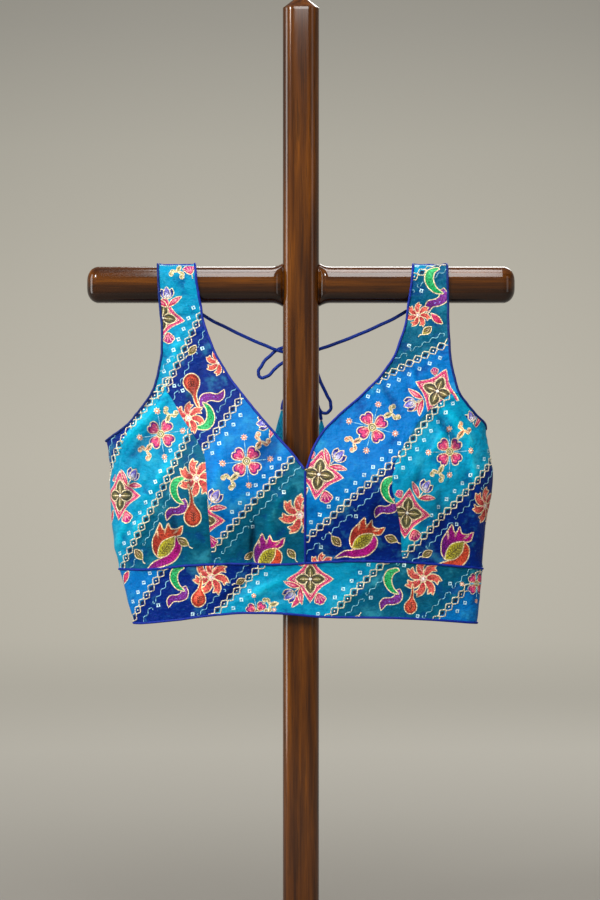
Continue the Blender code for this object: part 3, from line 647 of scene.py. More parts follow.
def standing(path, foot):
    """The part of an upward line that is above a level line, starting on it."""
    kept = path[path[:, 1] > np.interp(path[:, 0], foot[:, 0], foot[:, 1])]
    return np.vstack([[kept[0, 0], np.interp(kept[0, 0], foot[:, 0], foot[:, 1])], kept])


def stretch(line, start, end):
    """The part of a level line between two places on it."""
    low, high = sorted((start[0], end[0]))
    inner = line[(line[:, 0] > low) & (line[:, 0] < high)]
    return inner if start[0] < end[0] else inner[::-1]


def opening_edge(path, distance):
    """An edge moved to the middle of its piping, and cut off level at the shoulder seam."""
    moved = shifted(path, distance)
    moved = moved[moved[:, 1] < SHOULDER - SHOULDER_REST]
    return np.vstack([moved, [moved[-1, 0], SHOULDER - SHOULDER_REST]])


def strap_edges(face, side):
    """The neck's edge and the armhole's."""
    bead = sign(side) * BEAD
    return opening_edge(NECK_EDGE[face][side], -bead), opening_edge(ARM_EDGE[face][side], bead)


def front_centre_outline(side):
    """Centre panel, strap and armhole slip, which are cut in one."""
    neck, arm = strap_edges(FRONT, side)
    centre = standing(centre_line(FRONT, CENTRE_FRONT, UNDER_WAIST, V_HEIGHT - BEAD), WAIST[FRONT])
    seam = seam_line(FRONT, side, SLIP_END[side] + SEAM_REST, arm[0, 1] - SEAM_REST)
    princess = standing(PRINCESS_EDGE[side], WAIST[FRONT])
    foot = stretch(WAIST[FRONT], princess[0], centre[0])
    return np.vstack([centre, neck, arm[::-1], seam[::-1], SLIP_EDGE[side], princess[::-1], foot])


def front_side_outline(side):
    low = WAIST[FRONT][0 if side == "left" else -1]
    seam = seam_line(FRONT, side, low[1], SLIP_END[side] - SEAM_REST)
    princess = standing(PRINCESS_EDGE[side], WAIST[FRONT])
    return np.vstack([seam, SLIP_EDGE[side], princess[::-1], stretch(WAIST[FRONT], princess[0], seam[0])])


def back_outline(side):
    neck, arm = strap_edges(BACK, side)
    centre = centre_line(BACK, 0, BACK_WAIST, BACK_NECK - BEAD - SEAM_REST)
    seam = seam_line(BACK, side, BACK_WAIST, arm[0, 1] - SEAM_REST)
    foot = stretch(WAIST[BACK], seam[0], centre[0])
    return np.vstack([centre, neck, arm[::-1], seam[::-1], foot])


def back_band_outline(side):
    high, low = (line[(line[:, 0] < 0) == (side == "left")] for line in (WAIST[BACK], HEM[BACK]))
    return np.vstack([high, low[::-1]])


OUTLINES = {"band_front": (FRONT, np.vstack([WAIST[FRONT], HEM[FRONT][::-1]]))}
for side in SIDES:
    OUTLINES[f"front_centre_{side}"] = FRONT, front_centre_outline(side)
    OUTLINES[f"front_side_{side}"] = FRONT, front_side_outline(side)
    OUTLINES[f"back_{side}"] = BACK, back_outline(side)
    OUTLINES[f"band_back_{side}"] = BACK, back_band_outline(side)
for name, (_, outline) in OUTLINES.items():
    print(name, "is cut to about", *np.ptp(outline, axis=0).round().astype(int), "mm")

# %% [markdown]
# The dye runs in broad slanting stripes of four blues, always in the same order. A spot's place in that
# order is one number, its phase: 0 to 1 is the first blue, 1 to 2 the second, and so on, round and round.
# Whole phases lie on lines that are drawn across each panel, so the phase is read off between them.

# %% Stripes
CHAINS = {
    # both ends of each line, as distance from the middle and height, first in front and then behind
    "A": (-107, 687, -145, 604), "B": (-59, 602, -107, 536), "C": (-8, 532, -101, 428),
    "D": (-120, 555, -191, 417), "slip": (-160, 594, -201, 530), "top": (150, 743, 121, 726),
    "E": (154, 653, 85, 616), "F": (110, 538, 11, 450), "G": (146, 585, 102, 529),
    "H": (204, 530, 110, 428), "I": (-148, 411, -179, 360), "J": (-46, 413, -90, 367),
    "K": (87, 418, 29, 361), "L": (192, 408, 146, 359), "P": (-130, 700, -78, 590),
    "Q": (-176, 560, -66, 452), "R": (-190, 462, -130, 414), "S": (108, 676, 158, 606),
    "T": (62, 560, 190, 440), "U": (12, 478, 76, 414), "V": (-120, 412, -80, 354),
    "W": (60, 412, 104, 354),
}
STRIPES = {
    # the lines across a panel from its upper left, the phase on the first, and the step between them
    "front_centre_left": (("A", "B", "C"), 1, 1),
    "front_side_left": (("D",), 4, -1),
    "front_centre_right": (("top", "E", "F"), 4, -1),
    "front_side_right": (("G", "H"), 4, 1),
    "band_front": (("I", "J", "K", "L"), 6, -1),
    "back_left": (("P", "Q", "R"), 3, -1),
    "back_right": (("S", "T", "U"), 4, -1),
    "band_back_left": (("V",), 2, -1),
    "band_back_right": (("W",), 5, -1),
}
STRIPE_WIDTH = 100
SLIP_PHASE = 4.5  # of the slip on the right
SLIP_FADE = 20  # on the left, how far past its line the slip's phase drops by one
APEX = {"left": 604, "right": 601}


def chain_ends(face, name):
    return MAP[face].flat_at(*np.array(CHAINS[name], float).reshape(2, 2).T)


def past(face, name, points):
    """How far points lie beyond a line: to the lower right of it in front, and to the lower left behind."""
    start, end = chain_ends(face, name)
    run = unit(end - start)
    normal = np.array([-run[1], run[0]]) * (1 if face == FRONT else -1)
    return (points - start) @ normal


def phase(face, panel, points):
    lines, first, step = STRIPES[panel]
    beyond = [past(face, line, points) for line in lines]
    value = first + step * beyond[0] / STRIPE_WIDTH
    for i, (near, far) in enumerate(zip(beyond[:-1], beyond[1:])):
        share = near / np.maximum(near - far, 1e-6)
        value = np.where(near > 0, first + step * (i + share), value)
    value = np.where(beyond[-1] > 0, first + step * (len(lines) - 1 + beyond[-1] / STRIPE_WIDTH), value)
    if panel.startswith("front_centre"):
        side = panel.split("_")[-1]
        seam = np.interp(points[:, 1], SLIP_EDGE[side][:, 1], SLIP_EDGE[side][:, 0])
        slip = (sign(side) * (seam - points[:, 0]) > -0.5) & (points[:, 1] < APEX[side])
        fading = np.clip(1 - past(face, "slip", points) / SLIP_FADE, 0.4, 1.5)
        value = np.where(slip, fading if side == "left" else SLIP_PHASE, value)
    return value


print(len(CHAINS), "lines between the stripes")

# %% [markdown]
# The silk is woven from shiny warp and uneven weft, so it has a cross grain of small slubs, and its dye is
# cloudy. A picture of silk would blur close up, so noise is used, stretched along the threads. A printed
# motif covers the dye: each corner of the cloth's mesh carries the motif's colour and, in the alpha,
# whether there is one.

# %% Silk
BLUES = ((1, 144, 186), (0, 34, 118), (0, 112, 190), (0, 88, 118))
DYES = [(i / len(BLUES), linear(*blue)) for i, blue in enumerate(BLUES)]
LIGHT_WASH = linear(84, 214, 232)
DEEP_WASH = linear(0, 46, 128)


def silk(name, reverse=False):
    look = Look(name, IOR=1.4, Specular_IOR_Level=0.12)
    place = look.attribute("cloth", "Vector")
    cloud = look.noise(place, 0.045, detail=3.0, roughness=0.62)
    grain = look.noise(place, (0.10, 0.9, 1))
    fleck = look.noise(place, (0.22, 0.40, 1), detail=4.0, roughness=0.7)
    knots = look.noise(place, (0.62, 0.62, 1), detail=1.0)
    fold = look.attribute("fold")

    def layered(colour, *layers):
        for tone, share, how in layers:
            colour = look.mix(colour, tone, share, how)
        return colour

    dye = layered(
        look.blend(DYES, (look.attribute("dye") * (1 / len(BLUES))).math("FRACT"), "CONSTANT"),
        (LIGHT_WASH, cloud.ramp(0.52, 0.74) * 0.22, "MIX"),
        (DEEP_WASH, cloud.ramp(0.48, 0.30) * 0.60, "MIX"),
        (LIGHT_WASH, fleck.ramp(0.56, 0.76) * 0.16, "MIX"),
    )
    printed = layered(
        look.attribute("print", "Color"),
        ((0.34, 0.24, 0.20), knots.ramp(0.50, 0.34) * 0.8, "MULTIPLY"),
        ((1.5, 1.5, 1.5), knots.ramp(0.52, 0.66) * 0.8, "MULTIPLY"),
    )
    colour = layered(
        dye,
        (printed, look.attribute("print", "Alpha") * (0.55 if reverse else 0.94), "MIX"),
        ((0.40, 0.44, 0.56), fleck.ramp(0.50, 0.28) * 0.6, "MULTIPLY"),
        # Painted highlight on the crests of the folds and painted shade in their troughs, from how far the
        # folds lift the cloth.
        ((1.7, 1.5, 1.3), fold.ramp(0.2, 2.3), "MULTIPLY"),
        ((0.20, 0.24, 0.36), fold.ramp(-0.2, -2.1) * 0.7, "MULTIPLY"),
        ((0.80, 0.86, 0.90), 0.16 if reverse else 0.0, "MIX"),
        ((0.55, 0.60, 0.66), grain.ramp(0.35, 0.75) * 0.55, "SOFT_LIGHT"),
    )
    weft = look.noise(place, (0.35, 6.0, 1), detail=1.0)
    warp = look.noise(place, (5.0, 0.3, 1), detail=1.0)
    weave = look.bump(weft * 0.7 + warp * 0.3, 0.12 * MM, 0.55)
    creases = look.bump(look.noise(place, 0.09, detail=4.0, roughness=0.6), 5.0 * MM, 0.55, under=weave)
    return look.finish(Base_Color=colour, Roughness=0.46 - grain * 0.12, Normal=creases)


SILK, REVERSE = silk("printed_silk"), silk("printed_silk_reverse", reverse=True)
print("silk and its reverse")

# %% What the silk reads
def dyed(mesh, phases, folds, spots, printed):
    """Stores what the silk's look reads: three values for each point, and a colour for each corner."""
    rows = (("dye", "FLOAT", phases), ("fold", "FLOAT", folds), ("cloth", "FLOAT_VECTOR", spots))
    for name, kind, values in rows:
        stored = mesh.attributes.new(name, kind, "POINT").data
        stored.foreach_set("value" if kind == "FLOAT" else "vector", np.ravel(values))
    mesh.color_attributes.new("print", "FLOAT_COLOR", "CORNER").data.foreach_set("color", np.ravel(printed))


print("dye, fold, cloth and print are stored on each mesh")

# %% [markdown]
# Each panel is cut into small triangles by constrained triangulation: the outline and the edges of its
# motifs are kept as edges of triangles, so colours meet in clean lines. The flat triangles are then laid
# on the body by the map, once for the face of the cloth and once for its reverse.

# %% Points within an outline
def inside(points, ring):
    """Which of the points lie within a closed ring."""
    near = np.flatnonzero(((points >= ring.min(axis=0)) & (points <= ring.max(axis=0))).all(axis=1))
    x, y = points[near].T
    odd = np.zeros(len(near), bool)
    for (x0, y0), (x1, y1) in zip(ring, np.roll(ring, -1, axis=0)):
        if y0 != y1:
            odd ^= ((y0 > y) != (y1 > y)) & (x < (x1 - x0) * (y - y0) / (y1 - y0) + x0)
    found = np.zeros(len(points), bool)
    found[near] = odd
    return found


def honeycomb(outline, step):
    """Evenly spread points within an outline."""
    low, high = outline.min(axis=0), outline.max(axis=0)
    rows = np.arange(low[1], high[1], step * 0.866)
    x, y = np.meshgrid(np.arange(low[0], high[0], step), rows)
    x = x + np.where(np.arange(len(rows)) % 2, step / 2, 0)[:, None]
    points = np.stack([x.ravel(), y.ravel()], -1)
    return points[inside(points, outline)]


print(len(honeycomb(OUTLINES["back_left"][1], 10)), "points, 10 mm apart, fill a back panel")

# %% Panels
SILK_THICK = 1.2
MESH_STEP = 2.6


class Panel:
    """One piece of the blouse's cloth, with all that is printed on it."""

    def __init__(self, name, face, outline, dyed_as=None, lift=0.0):
        self.name, self.face, self.outline, self.lift = name, face, outline, lift
        self.dyed_as = dyed_as or name
        self.fills = []  # (ring, its colour as a function of points), the later on top
        self.lines = {"gold": [], "vine": []}

    def cut(self):
        """Flat points, triangles, and the topmost fill of each triangle."""
        points, edges = [], []
        for ring in [resampled(self.outline, MESH_STEP, closed=True)] + [ring for ring, _ in self.fills]:
            first, count = len(points), len(ring)
            points += [Vector(point) for point in ring]
            edges += [(first + i, first + (i + 1) % count) for i in range(count)]
        points += [Vector(point) for point in honeycomb(self.outline, MESH_STEP)]
        made = geometry.delaunay_2d_cdt(points, edges, [], 0, 1e-3)
        flat, faces = np.array([tuple(v) for v in made[0]]), np.array(made[2])
        middles = flat[faces].mean(axis=1)
        kept = inside(middles, self.outline)
        faces, middles = faces[kept], middles[kept]
        owner = np.full(len(faces), -1)
        for i, (ring, _) in enumerate(self.fills):
            owner[inside(middles, ring)] = i
        used, faces = np.unique(faces, return_inverse=True)
        return flat[used], faces.reshape(-1, 3), owner

    def make(self):
        flat, faces, owner = self.cut()
        if self.face == BACK:
            faces = faces[:, ::-1]
        cloth, count = MAP[self.face], len(flat)
        outer, inner = (cloth.spots(flat, self.lift + SILK_THICK / 2 * way) for way in (1, -1))
        walls = faces[:, [[0, 1], [1, 2], [2, 0]]].reshape(-1, 2)
        there = {tuple(pair) for pair in walls}
        rim = [(a, b, b + count, a + count) for a, b in there if (b, a) not in there]
        rim = [corner[::-1] for corner in sorted(rim)]
        shapes = faces.tolist() + (faces[:, ::-1] + count).tolist() + rim
        mesh = mesh_of(self.name, np.vstack([outer, inner]), shapes, SILK, REVERSE, flat=True)
        out = cloth.normals(flat)
        mesh.normals_split_custom_set_from_vertices(np.vstack([out, -out]).tolist())
        shares = np.repeat([0, 1, 0], [len(faces), len(faces), len(rim)]).astype(np.int32)
        mesh.polygons.foreach_set("material_index", shares)
        spots = np.column_stack([flat, np.full(count, hash_of(self.name))])
        phases = phase(self.face, self.dyed_as, flat)
        corners = self.printed(flat, faces, owner)
        rim_corners = np.zeros((len(rim) * 4, 4))
        corners = np.vstack([corners.reshape(-1, 4), corners[:, ::-1].reshape(-1, 4), rim_corners])
        dyed(mesh, np.tile(phases, 2), np.tile(cloth.folded(flat), 2), np.vstack([spots, spots]), corners)
        return self.place(mesh, flat, faces)

    def printed(self, flat, faces, owner):
        """The colour of every corner, and whether there is one."""
        colours = np.zeros((len(faces), 3, 4))
        for i, (_, colour) in enumerate(self.fills):
            mine = owner == i
            if colour and mine.any():
                colours[mine, :, :3] = colour(flat[faces[mine]])
                colours[mine, :, 3] = 1
        return colours

    def place(self, mesh, flat, faces):
        node = mounted(in_scene("cloth_" + self.name, mesh), "printed_silk", self.name)
        a, b, c = (flat[faces[:, i]] for i in range(3))
        area = np.abs((b - a)[:, 0] * (c - a)[:, 1] - (b - a)[:, 1] * (c - a)[:, 0]).sum() / 2 * MM * MM
        width, length = np.ptp(self.outline, axis=0) * MM
        print(f"{self.name}: {len(faces)} triangles, {len(self.fills)} printed shapes,", end=" ")
        print(f"{width * 1000:.0f} x {length * 1000:.0f} mm, {area * 1e4:.0f} square cm")
        return node


def hash_of(name):
    """A number that sets one panel's clouds and slubs apart from the next one's."""
    return sum(map(ord, name)) % 97 * 31.0


PANELS = {name: Panel(name, *where) for name, where in OUTLINES.items()}
print(len(PANELS), "panels ready to print")

# %% [markdown]
# The print is drawn with a few kinds of curve. A `blade` is a leaf or a petal that grows from its root and
# may bend or hook. A `shape` is made of smooth runs that meet in corners. A `Motif` collects them in its
# own small space, growing upwards from (0, 0), and may hold other motifs.

# %% Curves for the print
INKS = {
    "gold": (240, 222, 172), "white": (250, 248, 238), "orange": (208, 76, 40), "coral": (238, 112, 92),
    "rust": (158, 50, 32), "magenta": (182, 22, 126), "pink": (234, 76, 128), "crimson": (186, 18, 56),
    "purple": (134, 54, 150), "lavender": (140, 128, 226), "plum": (104, 26, 120),
    "violet": (40, 28, 116), "green": (16, 158, 84), "leaf": (66, 190, 110), "olive": (104, 92, 40),
    "moss": (142, 136, 56), "yellow": (196, 186, 34), "ink": (24, 34, 58), "bark": (96, 54, 34),
    "blush": (250, 196, 190), "ice": (196, 236, 246), "dusk": (40, 34, 26),
}
INKS = {name: linear(*ink) for name, ink in INKS.items()}


def blade(length, width, bend=0.0, hook=0.0, belly=1.0, blunt=1.0, count=15):
    """A leaf from (0, 0) upwards that turns clockwise by bend, and by hook towards its tip, in degrees.
    A belly above 1 moves its widest part towards the tip, and a blunt below 1 makes it rounder."""
    t = np.linspace(0, 1, count)
    heading = np.radians(90 - bend * t - hook * t**3)
    run = np.stack([np.cos(heading), np.sin(heading)], -1)
    spine = np.vstack([[0, 0], np.cumsum((run[:-1] + run[1:]) / 2 * (length / (count - 1)), axis=0)])
    half = (width / 2 * np.maximum(np.sin(math.pi * t**belly), 0) ** blunt)[:, None]
    side = np.stack([run[:, 1], -run[:, 0]], -1)
    return np.vstack([spine + half * side, (spine - half * side)[-2:0:-1]])


def smooth(points, count=5):
    """A curve through all the points."""
    p = np.array(points, float)
    p = np.vstack([2 * p[0] - p[1], p, 2 * p[-1] - p[-2]])
    t = np.linspace(0, 1, count, endpoint=False)[:, None]
    runs = [
        b + (c - a) / 2 * t + (a - 2.5 * b + 2 * c - d / 2) * t**2 + (1.5 * (b - c) + (d - a) / 2) * t**3
        for a, b, c, d in zip(p, p[1:], p[2:], p[3:])
    ]
    return np.vstack([*runs, p[-2:-1]])


def shape(*runs, count=5):
    """A closed ring of smooth runs, each from a corner to the next."""
    return np.vstack([smooth(run, count)[:-1] for run in runs])


def mirrored(run):
    """The other half of a form that is the same on both sides."""
    return [(-x, y) for x, y in reversed(run)]


def circle(radius, count=14, place=(0, 0), inner=None):
    """A circle, or a star if it has an inner radius."""
    angle = np.linspace(0, 2 * math.pi, count, endpoint=False)
    radii = np.where(np.arange(count) % 2, radius if inner is None else inner, radius)
    return np.array(place) + np.stack([radii * np.cos(angle), radii * np.sin(angle)], -1)


def grown(path, by):
    """A ring moved out along its own normals."""
    run = unit(np.roll(path, -1, axis=0) - np.roll(path, 1, axis=0))
    x, y = path.T
    turning = np.sign((x * np.roll(y, -1) - np.roll(x, -1) * y).sum())
    return path + by * turning * np.stack([run[:, 1], -run[:, 0]], -1)


def mover(place, angle=0, scale=1):
    turn = math.radians(angle)
    matrix = scale * np.array([[math.cos(turn), math.sin(turn)], [-math.sin(turn), math.cos(turn)]])
    return lambda points: np.asarray(points, float) @ matrix + np.array(place, float)


print(len(INKS), "inks, and a blade of", len(blade(10, 4)), "points")

# %% Motifs
class Motif:
    """Filled rings and threads, in the order in which they are laid."""

    def __init__(self):
        self.fills = []  # ring, colour at the root, colour at the tip, where the root is, where the tip is
        self.threads = []  # kind and path

    def fill(self, path, base, tip=None, axis=None):
        low, high = axis or (path[0], path[len(path) // 2])
        self.fills.append((path, base, tip or base, np.array(low, float), np.array(high, float)))
        return self

    def edged(self, path, base, tip=None, rim=0.7, axis=None):
        return self.fill(grown(path, rim + 0.35), "gold").fill(path, base, tip, axis)

    def thread(self, path, kind="gold"):
        self.threads.append((kind, np.array(path, float)))
        return self

    def add(self, other, place=(0, 0), angle=0, scale=1):
        move = mover(place, angle, scale)
        for path, base, tip, low, high in other.fills:
            self.fills.append((move(path), base, tip, move(low), move(high)))
        self.threads += [(kind, move(path)) for kind, path in other.threads]
        return self

    def leaf(self, path, base, tip=None, place=(0, 0), angle=0, rim=None):
        """A blade that grows from a place at an angle, with a gold edge if it has a rim."""
        made = Motif().edged(path, base, tip, rim) if rim else Motif().fill(path, base, tip)
        return self.add(made, place, angle)


print("a motif can be drawn")

# %% [markdown]
# The motifs are old friends of printed silk: four-petalled flowers with small stars around them, tulips,
# sprigs, eight-sided stars, wheels of comma petals, paisleys with crowns of flames, and seeds.

# %% Flowers
def turns(count, start=0):
    return [start + 360 * i / count for i in range(count)]


def heart_petal():
    left = [(0, 2.5), (-3.4, 6.4), (-6.4, 11.2), (-5.9, 15.2), (-2.6, 16.9), (0, 15.0)]
    outer = shape(left, mirrored(left), count=4)
    left = [(0, 4.5), (-2.6, 9.0), (-2.8, 12.6), (0, 11.2)]
    petal = Motif().edged(outer, "crimson", "plum", axis=((0, 7), (0.8, 15)))
    petal.fill(mover((0, 1.2), 0, 0.80)(outer), "crimson", "pink", ((0, 5), (0, 16)))
    petal.fill(mover((0, 2.0), 0, 0.60)(outer), "coral", "blush", ((0, 4), (0, 13)))
    return petal.fill(shape(left, mirrored(left)), "crimson", "pink")


def small_star():
    star = Motif().fill(circle(4.2, 16, inner=2.3), "gold").fill(circle(3.3, 16, inner=1.6), "coral")
    return star.fill(circle(1.2, 8), "white")


def flower():
    whole = Motif()
    for angle in turns(4):
        place = mover((0, 0), angle)
        whole.thread(place([(0, 5), (0, 22)]), "vine").add(small_star(), place((0, 26)), angle)
    for angle in turns(4, 45):
        whole.add(heart_petal(), angle=angle)
    whole.edged(circle(3.9, 16), "moss", rim=0.6).fill(circle(2.6, 12), "gold")
    return whole.fill(circle(1.7, 10), "olive").fill(circle(0.8, 8), "white")


def sprig(ink, tip):
    """A leaf with two curled branches."""
    whole = Motif().thread([(0, -2), (0, 13)])
    for way in (-1, 1):
        curl = [(0, 10.5), (way * 3.4, 12.4), (way * 7.2, 12.6), (way * 9.2, 15.2), (way * 8.0, 18.0)]
        limb = smooth(curl)
        whole.edged(np.vstack([limb + [0, 1.2], (limb - [0, 1.2])[::-1]]), ink, tip, rim=0.6)
        whole.edged(circle(2.5, 12, (way * 7.4, 17.4)), tip, ink, rim=0.6)
    whole.edged(blade(12, 5.2), ink, tip, rim=0.6)
    return whole.fill(mover((0, 2.4), 0, 0.6)(blade(12, 3.4)), "olive")


def bloom():
    """A tulip between two narrow leaves."""
    whole = Motif().thread([(0, 0), (0, 12)])
    for way in (-1, 1):
        root = {"place": (way * 0.8, 1), "angle": -way * 46}
        whole.leaf(blade(21, 5.8, bend=way * 20, belly=0.9), "crimson", "pink", rim=0.7, **root)
        whole.leaf(mover((0, 3), 0, 0.72)(blade(21, 3.0, bend=way * 20)), "pink", "blush", **root)
    for way in (-1, 1):
        lobe = shape([(0, 11), (way * 5.6, 13.2), (way * 8.4, 18.4), (way * 6.8, 23.6)],
                     [(way * 6.8, 23.6), (way * 3.2, 20.4), (0, 11)])
        whole.edged(lobe, "lavender", "violet", axis=((0, 12), (way * 7, 19)))
        whole.fill(mover((way * 1.6, 6.4), 0, 0.54)(lobe), "white", "lavender")
    left = [(0, 11), (-3.6, 16.4), (-2.9, 22.0), (0, 26)]
    heart = shape(left, mirrored(left))
    whole.edged(heart, "violet", "lavender")
    return whole.fill(mover((0, 4.2), 0, 0.66)(heart), "white", "lavender")


def fan():
    """A small scalloped shell on a stem."""
    left = [(0, 0), (-2.2, 1.2), (-6.2, 6.4), (-6.6, 9.4), (-4.0, 11.2), (-2.6, 12.8), (0, 13.2)]
    shell = shape(left + mirrored(left)[1:], count=3)
    whole = Motif().thread([(0, -6), (0.6, 0)]).edged(shell, "crimson", "magenta", axis=((0, 0), (0, 12)))
    for angle in (-38, -13, 13, 38):
        whole.leaf(blade(11, 1.5), "pink", "blush", (0, 1), angle)
    return whole


print("flower, sprig, bloom and fan")

# %% Stars and wheels
def pointed(tip, waist, count=64):
    """A star of four points with hollow sides."""
    angle = np.linspace(0, 2 * math.pi, count, endpoint=False)
    radius = waist + (tip - waist) * (1 - np.abs(np.sin(2 * angle))) ** 1.35
    return np.stack([radius * np.cos(angle), radius * np.sin(angle)], -1)


def star():
    rows = ((27.6, 16.4, "gold"), (26.0, 15.4, "pink"), (22.8, 13.2, "crimson"), (21.2, 12.4, "blush"),
            (20.0, 11.8, "pink"), (18.2, 10.8, "gold"), (17.0, 10.2, "dusk"))
    whole = Motif()
    for tip, waist, ink in rows:
        whole.fill(pointed(tip, waist), ink)
    for angle in turns(4):
        whole.leaf(blade(16.6, 10.8, blunt=0.75), "dusk", "olive", angle=angle, rim=0.9)
    for angle in turns(4):
        whole.leaf(blade(12.5, 6.0), "bark", "moss", angle=angle).leaf(blade(13.5, 1.2), "gold", angle=angle)
    return whole.fill(circle(1.7, 10), "white")


def star_group():
    """A star with its shells and a leaf behind it."""
    whole = Motif().add(fan(), (9, -17), 200, 0.95).add(fan(), (-9, 16), 30, 0.62)
    return whole.leaf(blade(20, 6, bend=12), "crimson", "pink", (-10, -16), 152, rim=0.7).add(star())


def pinwheel():
    """A wheel of seven comma petals."""
    comma = shape([(0, 2), (-2.8, 7), (-3.4, 12.6), (-0.4, 18.2), (5.4, 21.4)],
                  [(5.4, 21.4), (4.6, 17.8), (8.6, 16.2)], [(8.6, 16.2), (4.4, 13.2), (2.6, 8), (0, 2)])
    flame = shape([(-0.4, 5), (-1.6, 11), (0.6, 16.2), (3.2, 18)], [(3.2, 18), (1.6, 12.4), (-0.4, 5)])
    whole = Motif()
    for angle in turns(7, 10):
        petal = Motif().edged(comma, "crimson", "coral", rim=0.9).fill(flame, "rust", "coral")
        whole.add(petal, angle=angle).leaf(blade(13, 1.5, bend=-8), "coral", "blush", (1.6, 4.5), angle + 8)
    return whole.edged(circle(3.6, 14), "blush", rim=0.8).fill(circle(1.8, 10), "white")


print("star and pinwheel")

# %% Crescents, drops, paisleys and seeds
def veins(whole, length, spread, count, ink, place, angle):
    """Feather veins on both sides of a mid-rib."""
    feather = Motif().fill(blade(length, 1.1), ink)
    for i in range(count):
        y = length * (0.16 + 0.70 * i / count)
        reach = spread * math.sin(math.pi * (0.25 + 0.62 * i / count))
        for way in (-1, 1):
            feather.leaf(blade(reach, 1.0, count=7), ink, None, (0, y), -way * 52)
    return whole.add(feather, place, angle)


def crescent():
    """A green crescent whose foot curls over into a striped leaf."""
    leaf = shape([(4, 3), (6.6, -3.4), (4.6, -10.6), (-3, -13.8), (-11, -14.2), (-17.4, -20.5)],
                 [(-17.4, -20.5), (-18.6, -13), (-14.4, -7.6), (-6.6, -7.0), (-1.8, -4.4), (-0.6, 0.6),
                  (4, 3)])
    whole = Motif().edged(leaf, "purple", "plum", axis=((4, 0), (-17, -20)))
    stripe = smooth([(3.6, -0.4), (3.2, -7), (-3.4, -10.6), (-12, -11), (-16.6, -16)])
    for part in range(0, len(stripe) - 2, 3):
        dash = stripe[part : part + 2]
        whole.fill(np.vstack([dash + [0.5, 0.5], (dash - [0.5, 0.5])[::-1]]), "lavender")
    horn = shape([(-1.5, 27), (-9.6, 24.4), (-13.6, 17), (-12.4, 8.4), (-6, 0.4), (2.6, -2.2)],
                 [(2.6, -2.2), (-2.8, 3.4), (-5.4, 9.6), (-5.6, 16), (-2.4, 21.6), (2.8, 24.6)],
                 [(2.8, 24.6), (1.4, 26.8), (-1.5, 27)])
    return whole.edged(horn, "green", "leaf", axis=((-12, 8), (-2, 16)), rim=0.9)


def teardrop():
    """A drop with a long curved tail and feather veins."""
    drop = shape([(-2.4, 40), (1.4, 28), (2.4, 18), (8.2, 8.4), (8.8, 0.6), (3.4, -5.2), (-3.6, -5.2),
                  (-8.6, 0.4), (-8.2, 8.0), (-2.2, 17.6), (-1.0, 28), (-2.4, 40)])
    whole = Motif().edged(drop, "rust", "orange", rim=0.9, axis=((0, -2), (0, 22)))
    whole.fill(mover((0.3, 0.6), 0, 0.70)(drop[5:-4]), "orange", "coral", ((0, -4), (0, 26)))
    return veins(whole, 15, 6, 4, "bark", (0.4, -3.6), -4)


def paisley(crown="orange", shade="rust", tail="magenta", deep="plum"):
    """A hooded drop with a crown of flames and a sweeping tail."""
    hood = shape([(-10, -10), (-14.4, -3.4), (-15.0, 8), (-10.6, 17), (-5.6, 27)],
                 [(-5.6, 27), (-3.4, 20.6), (-1.0, 18.0)], [(-1.0, 18.0), (1.6, 20.6), (3.2, 25.6)],
                 [(3.2, 25.6), (5.6, 19.6), (9.6, 18.0)], [(9.6, 18.0), (14.0, 18.6), (20, 22)],
                 [(20, 22), (17.4, 13.6), (10.4, 11.0), (3.4, 10.4), (-4.2, 5.4), (-8.4, -2), (-10, -10)])
    sweep = shape([(10.6, 10.2), (16.0, 4.0), (15.4, -5.6), (8.0, -15.4), (-4, -20.2), (-15, -22.4),
                   (-26, -28)],
                  [(-26, -28), (-17.4, -17.6), (-7.6, -12.6), (1.4, -9.0), (7.4, -1.6), (10.6, 10.2)])
    core = shape([(-9.6, -10.4), (-8.6, -1.6), (-2.8, 6.8), (9.6, 10.8)],
                 [(9.6, 10.8), (7.6, -0.4), (0, -8.6), (-9.6, -10.4)])
    whole = Motif().edged(sweep, tail, deep, rim=0.9, axis=((6, -8), (-24, -26)))
    whole.edged(hood, shade, crown, rim=0.9, axis=((-13, 4), (12, 16)))
    for x, y, angle, size in ((-8.4, 9, 6, 13), (-1.6, 13, -14, 9), (7, 13, -58, 10)):
        whole.leaf(blade(size, 2.4), crown, "gold", (x, y), angle)
    whole.edged(core, "yellow", "moss", rim=0.8, axis=((-6, 2), (6, -4)))
    return veins(whole, 23, 6.4, 5, "olive", (-8.6, -9.4), -42)


def seed():
    whole = Motif().thread(smooth([(0, 15), (1.5, 19), (0.4, 23)], 4))
    whole.edged(blade(15, 8.4), "bark", "moss", rim=0.8)
    whole.fill(mover((0, 2.2), 0, 0.7)(blade(15, 4.4)), "gold", "olive")
    return whole.fill(mover((0, 3), 0, 0.6)(blade(15, 2.0)), "bark")


MOTIFS = {
    "flower": flower(), "gold-sprig": sprig("gold", "moss"), "orange-sprig": sprig("gold", "orange"),
    "bloom": bloom(), "fan": fan(), "star": star_group(), "pinwheel": pinwheel(), "crescent": crescent(),
    "teardrop": teardrop(), "paisley": paisley(), "seed": seed(),
    "pink-paisley": paisley("magenta", "plum", "orange", "rust"),
    "leaf": Motif().edged(blade(18, 7, bend=24), "crimson", "pink"),
}
print(len(MOTIFS), "motifs,", sum(len(m.fills) for m in MOTIFS.values()), "shapes")
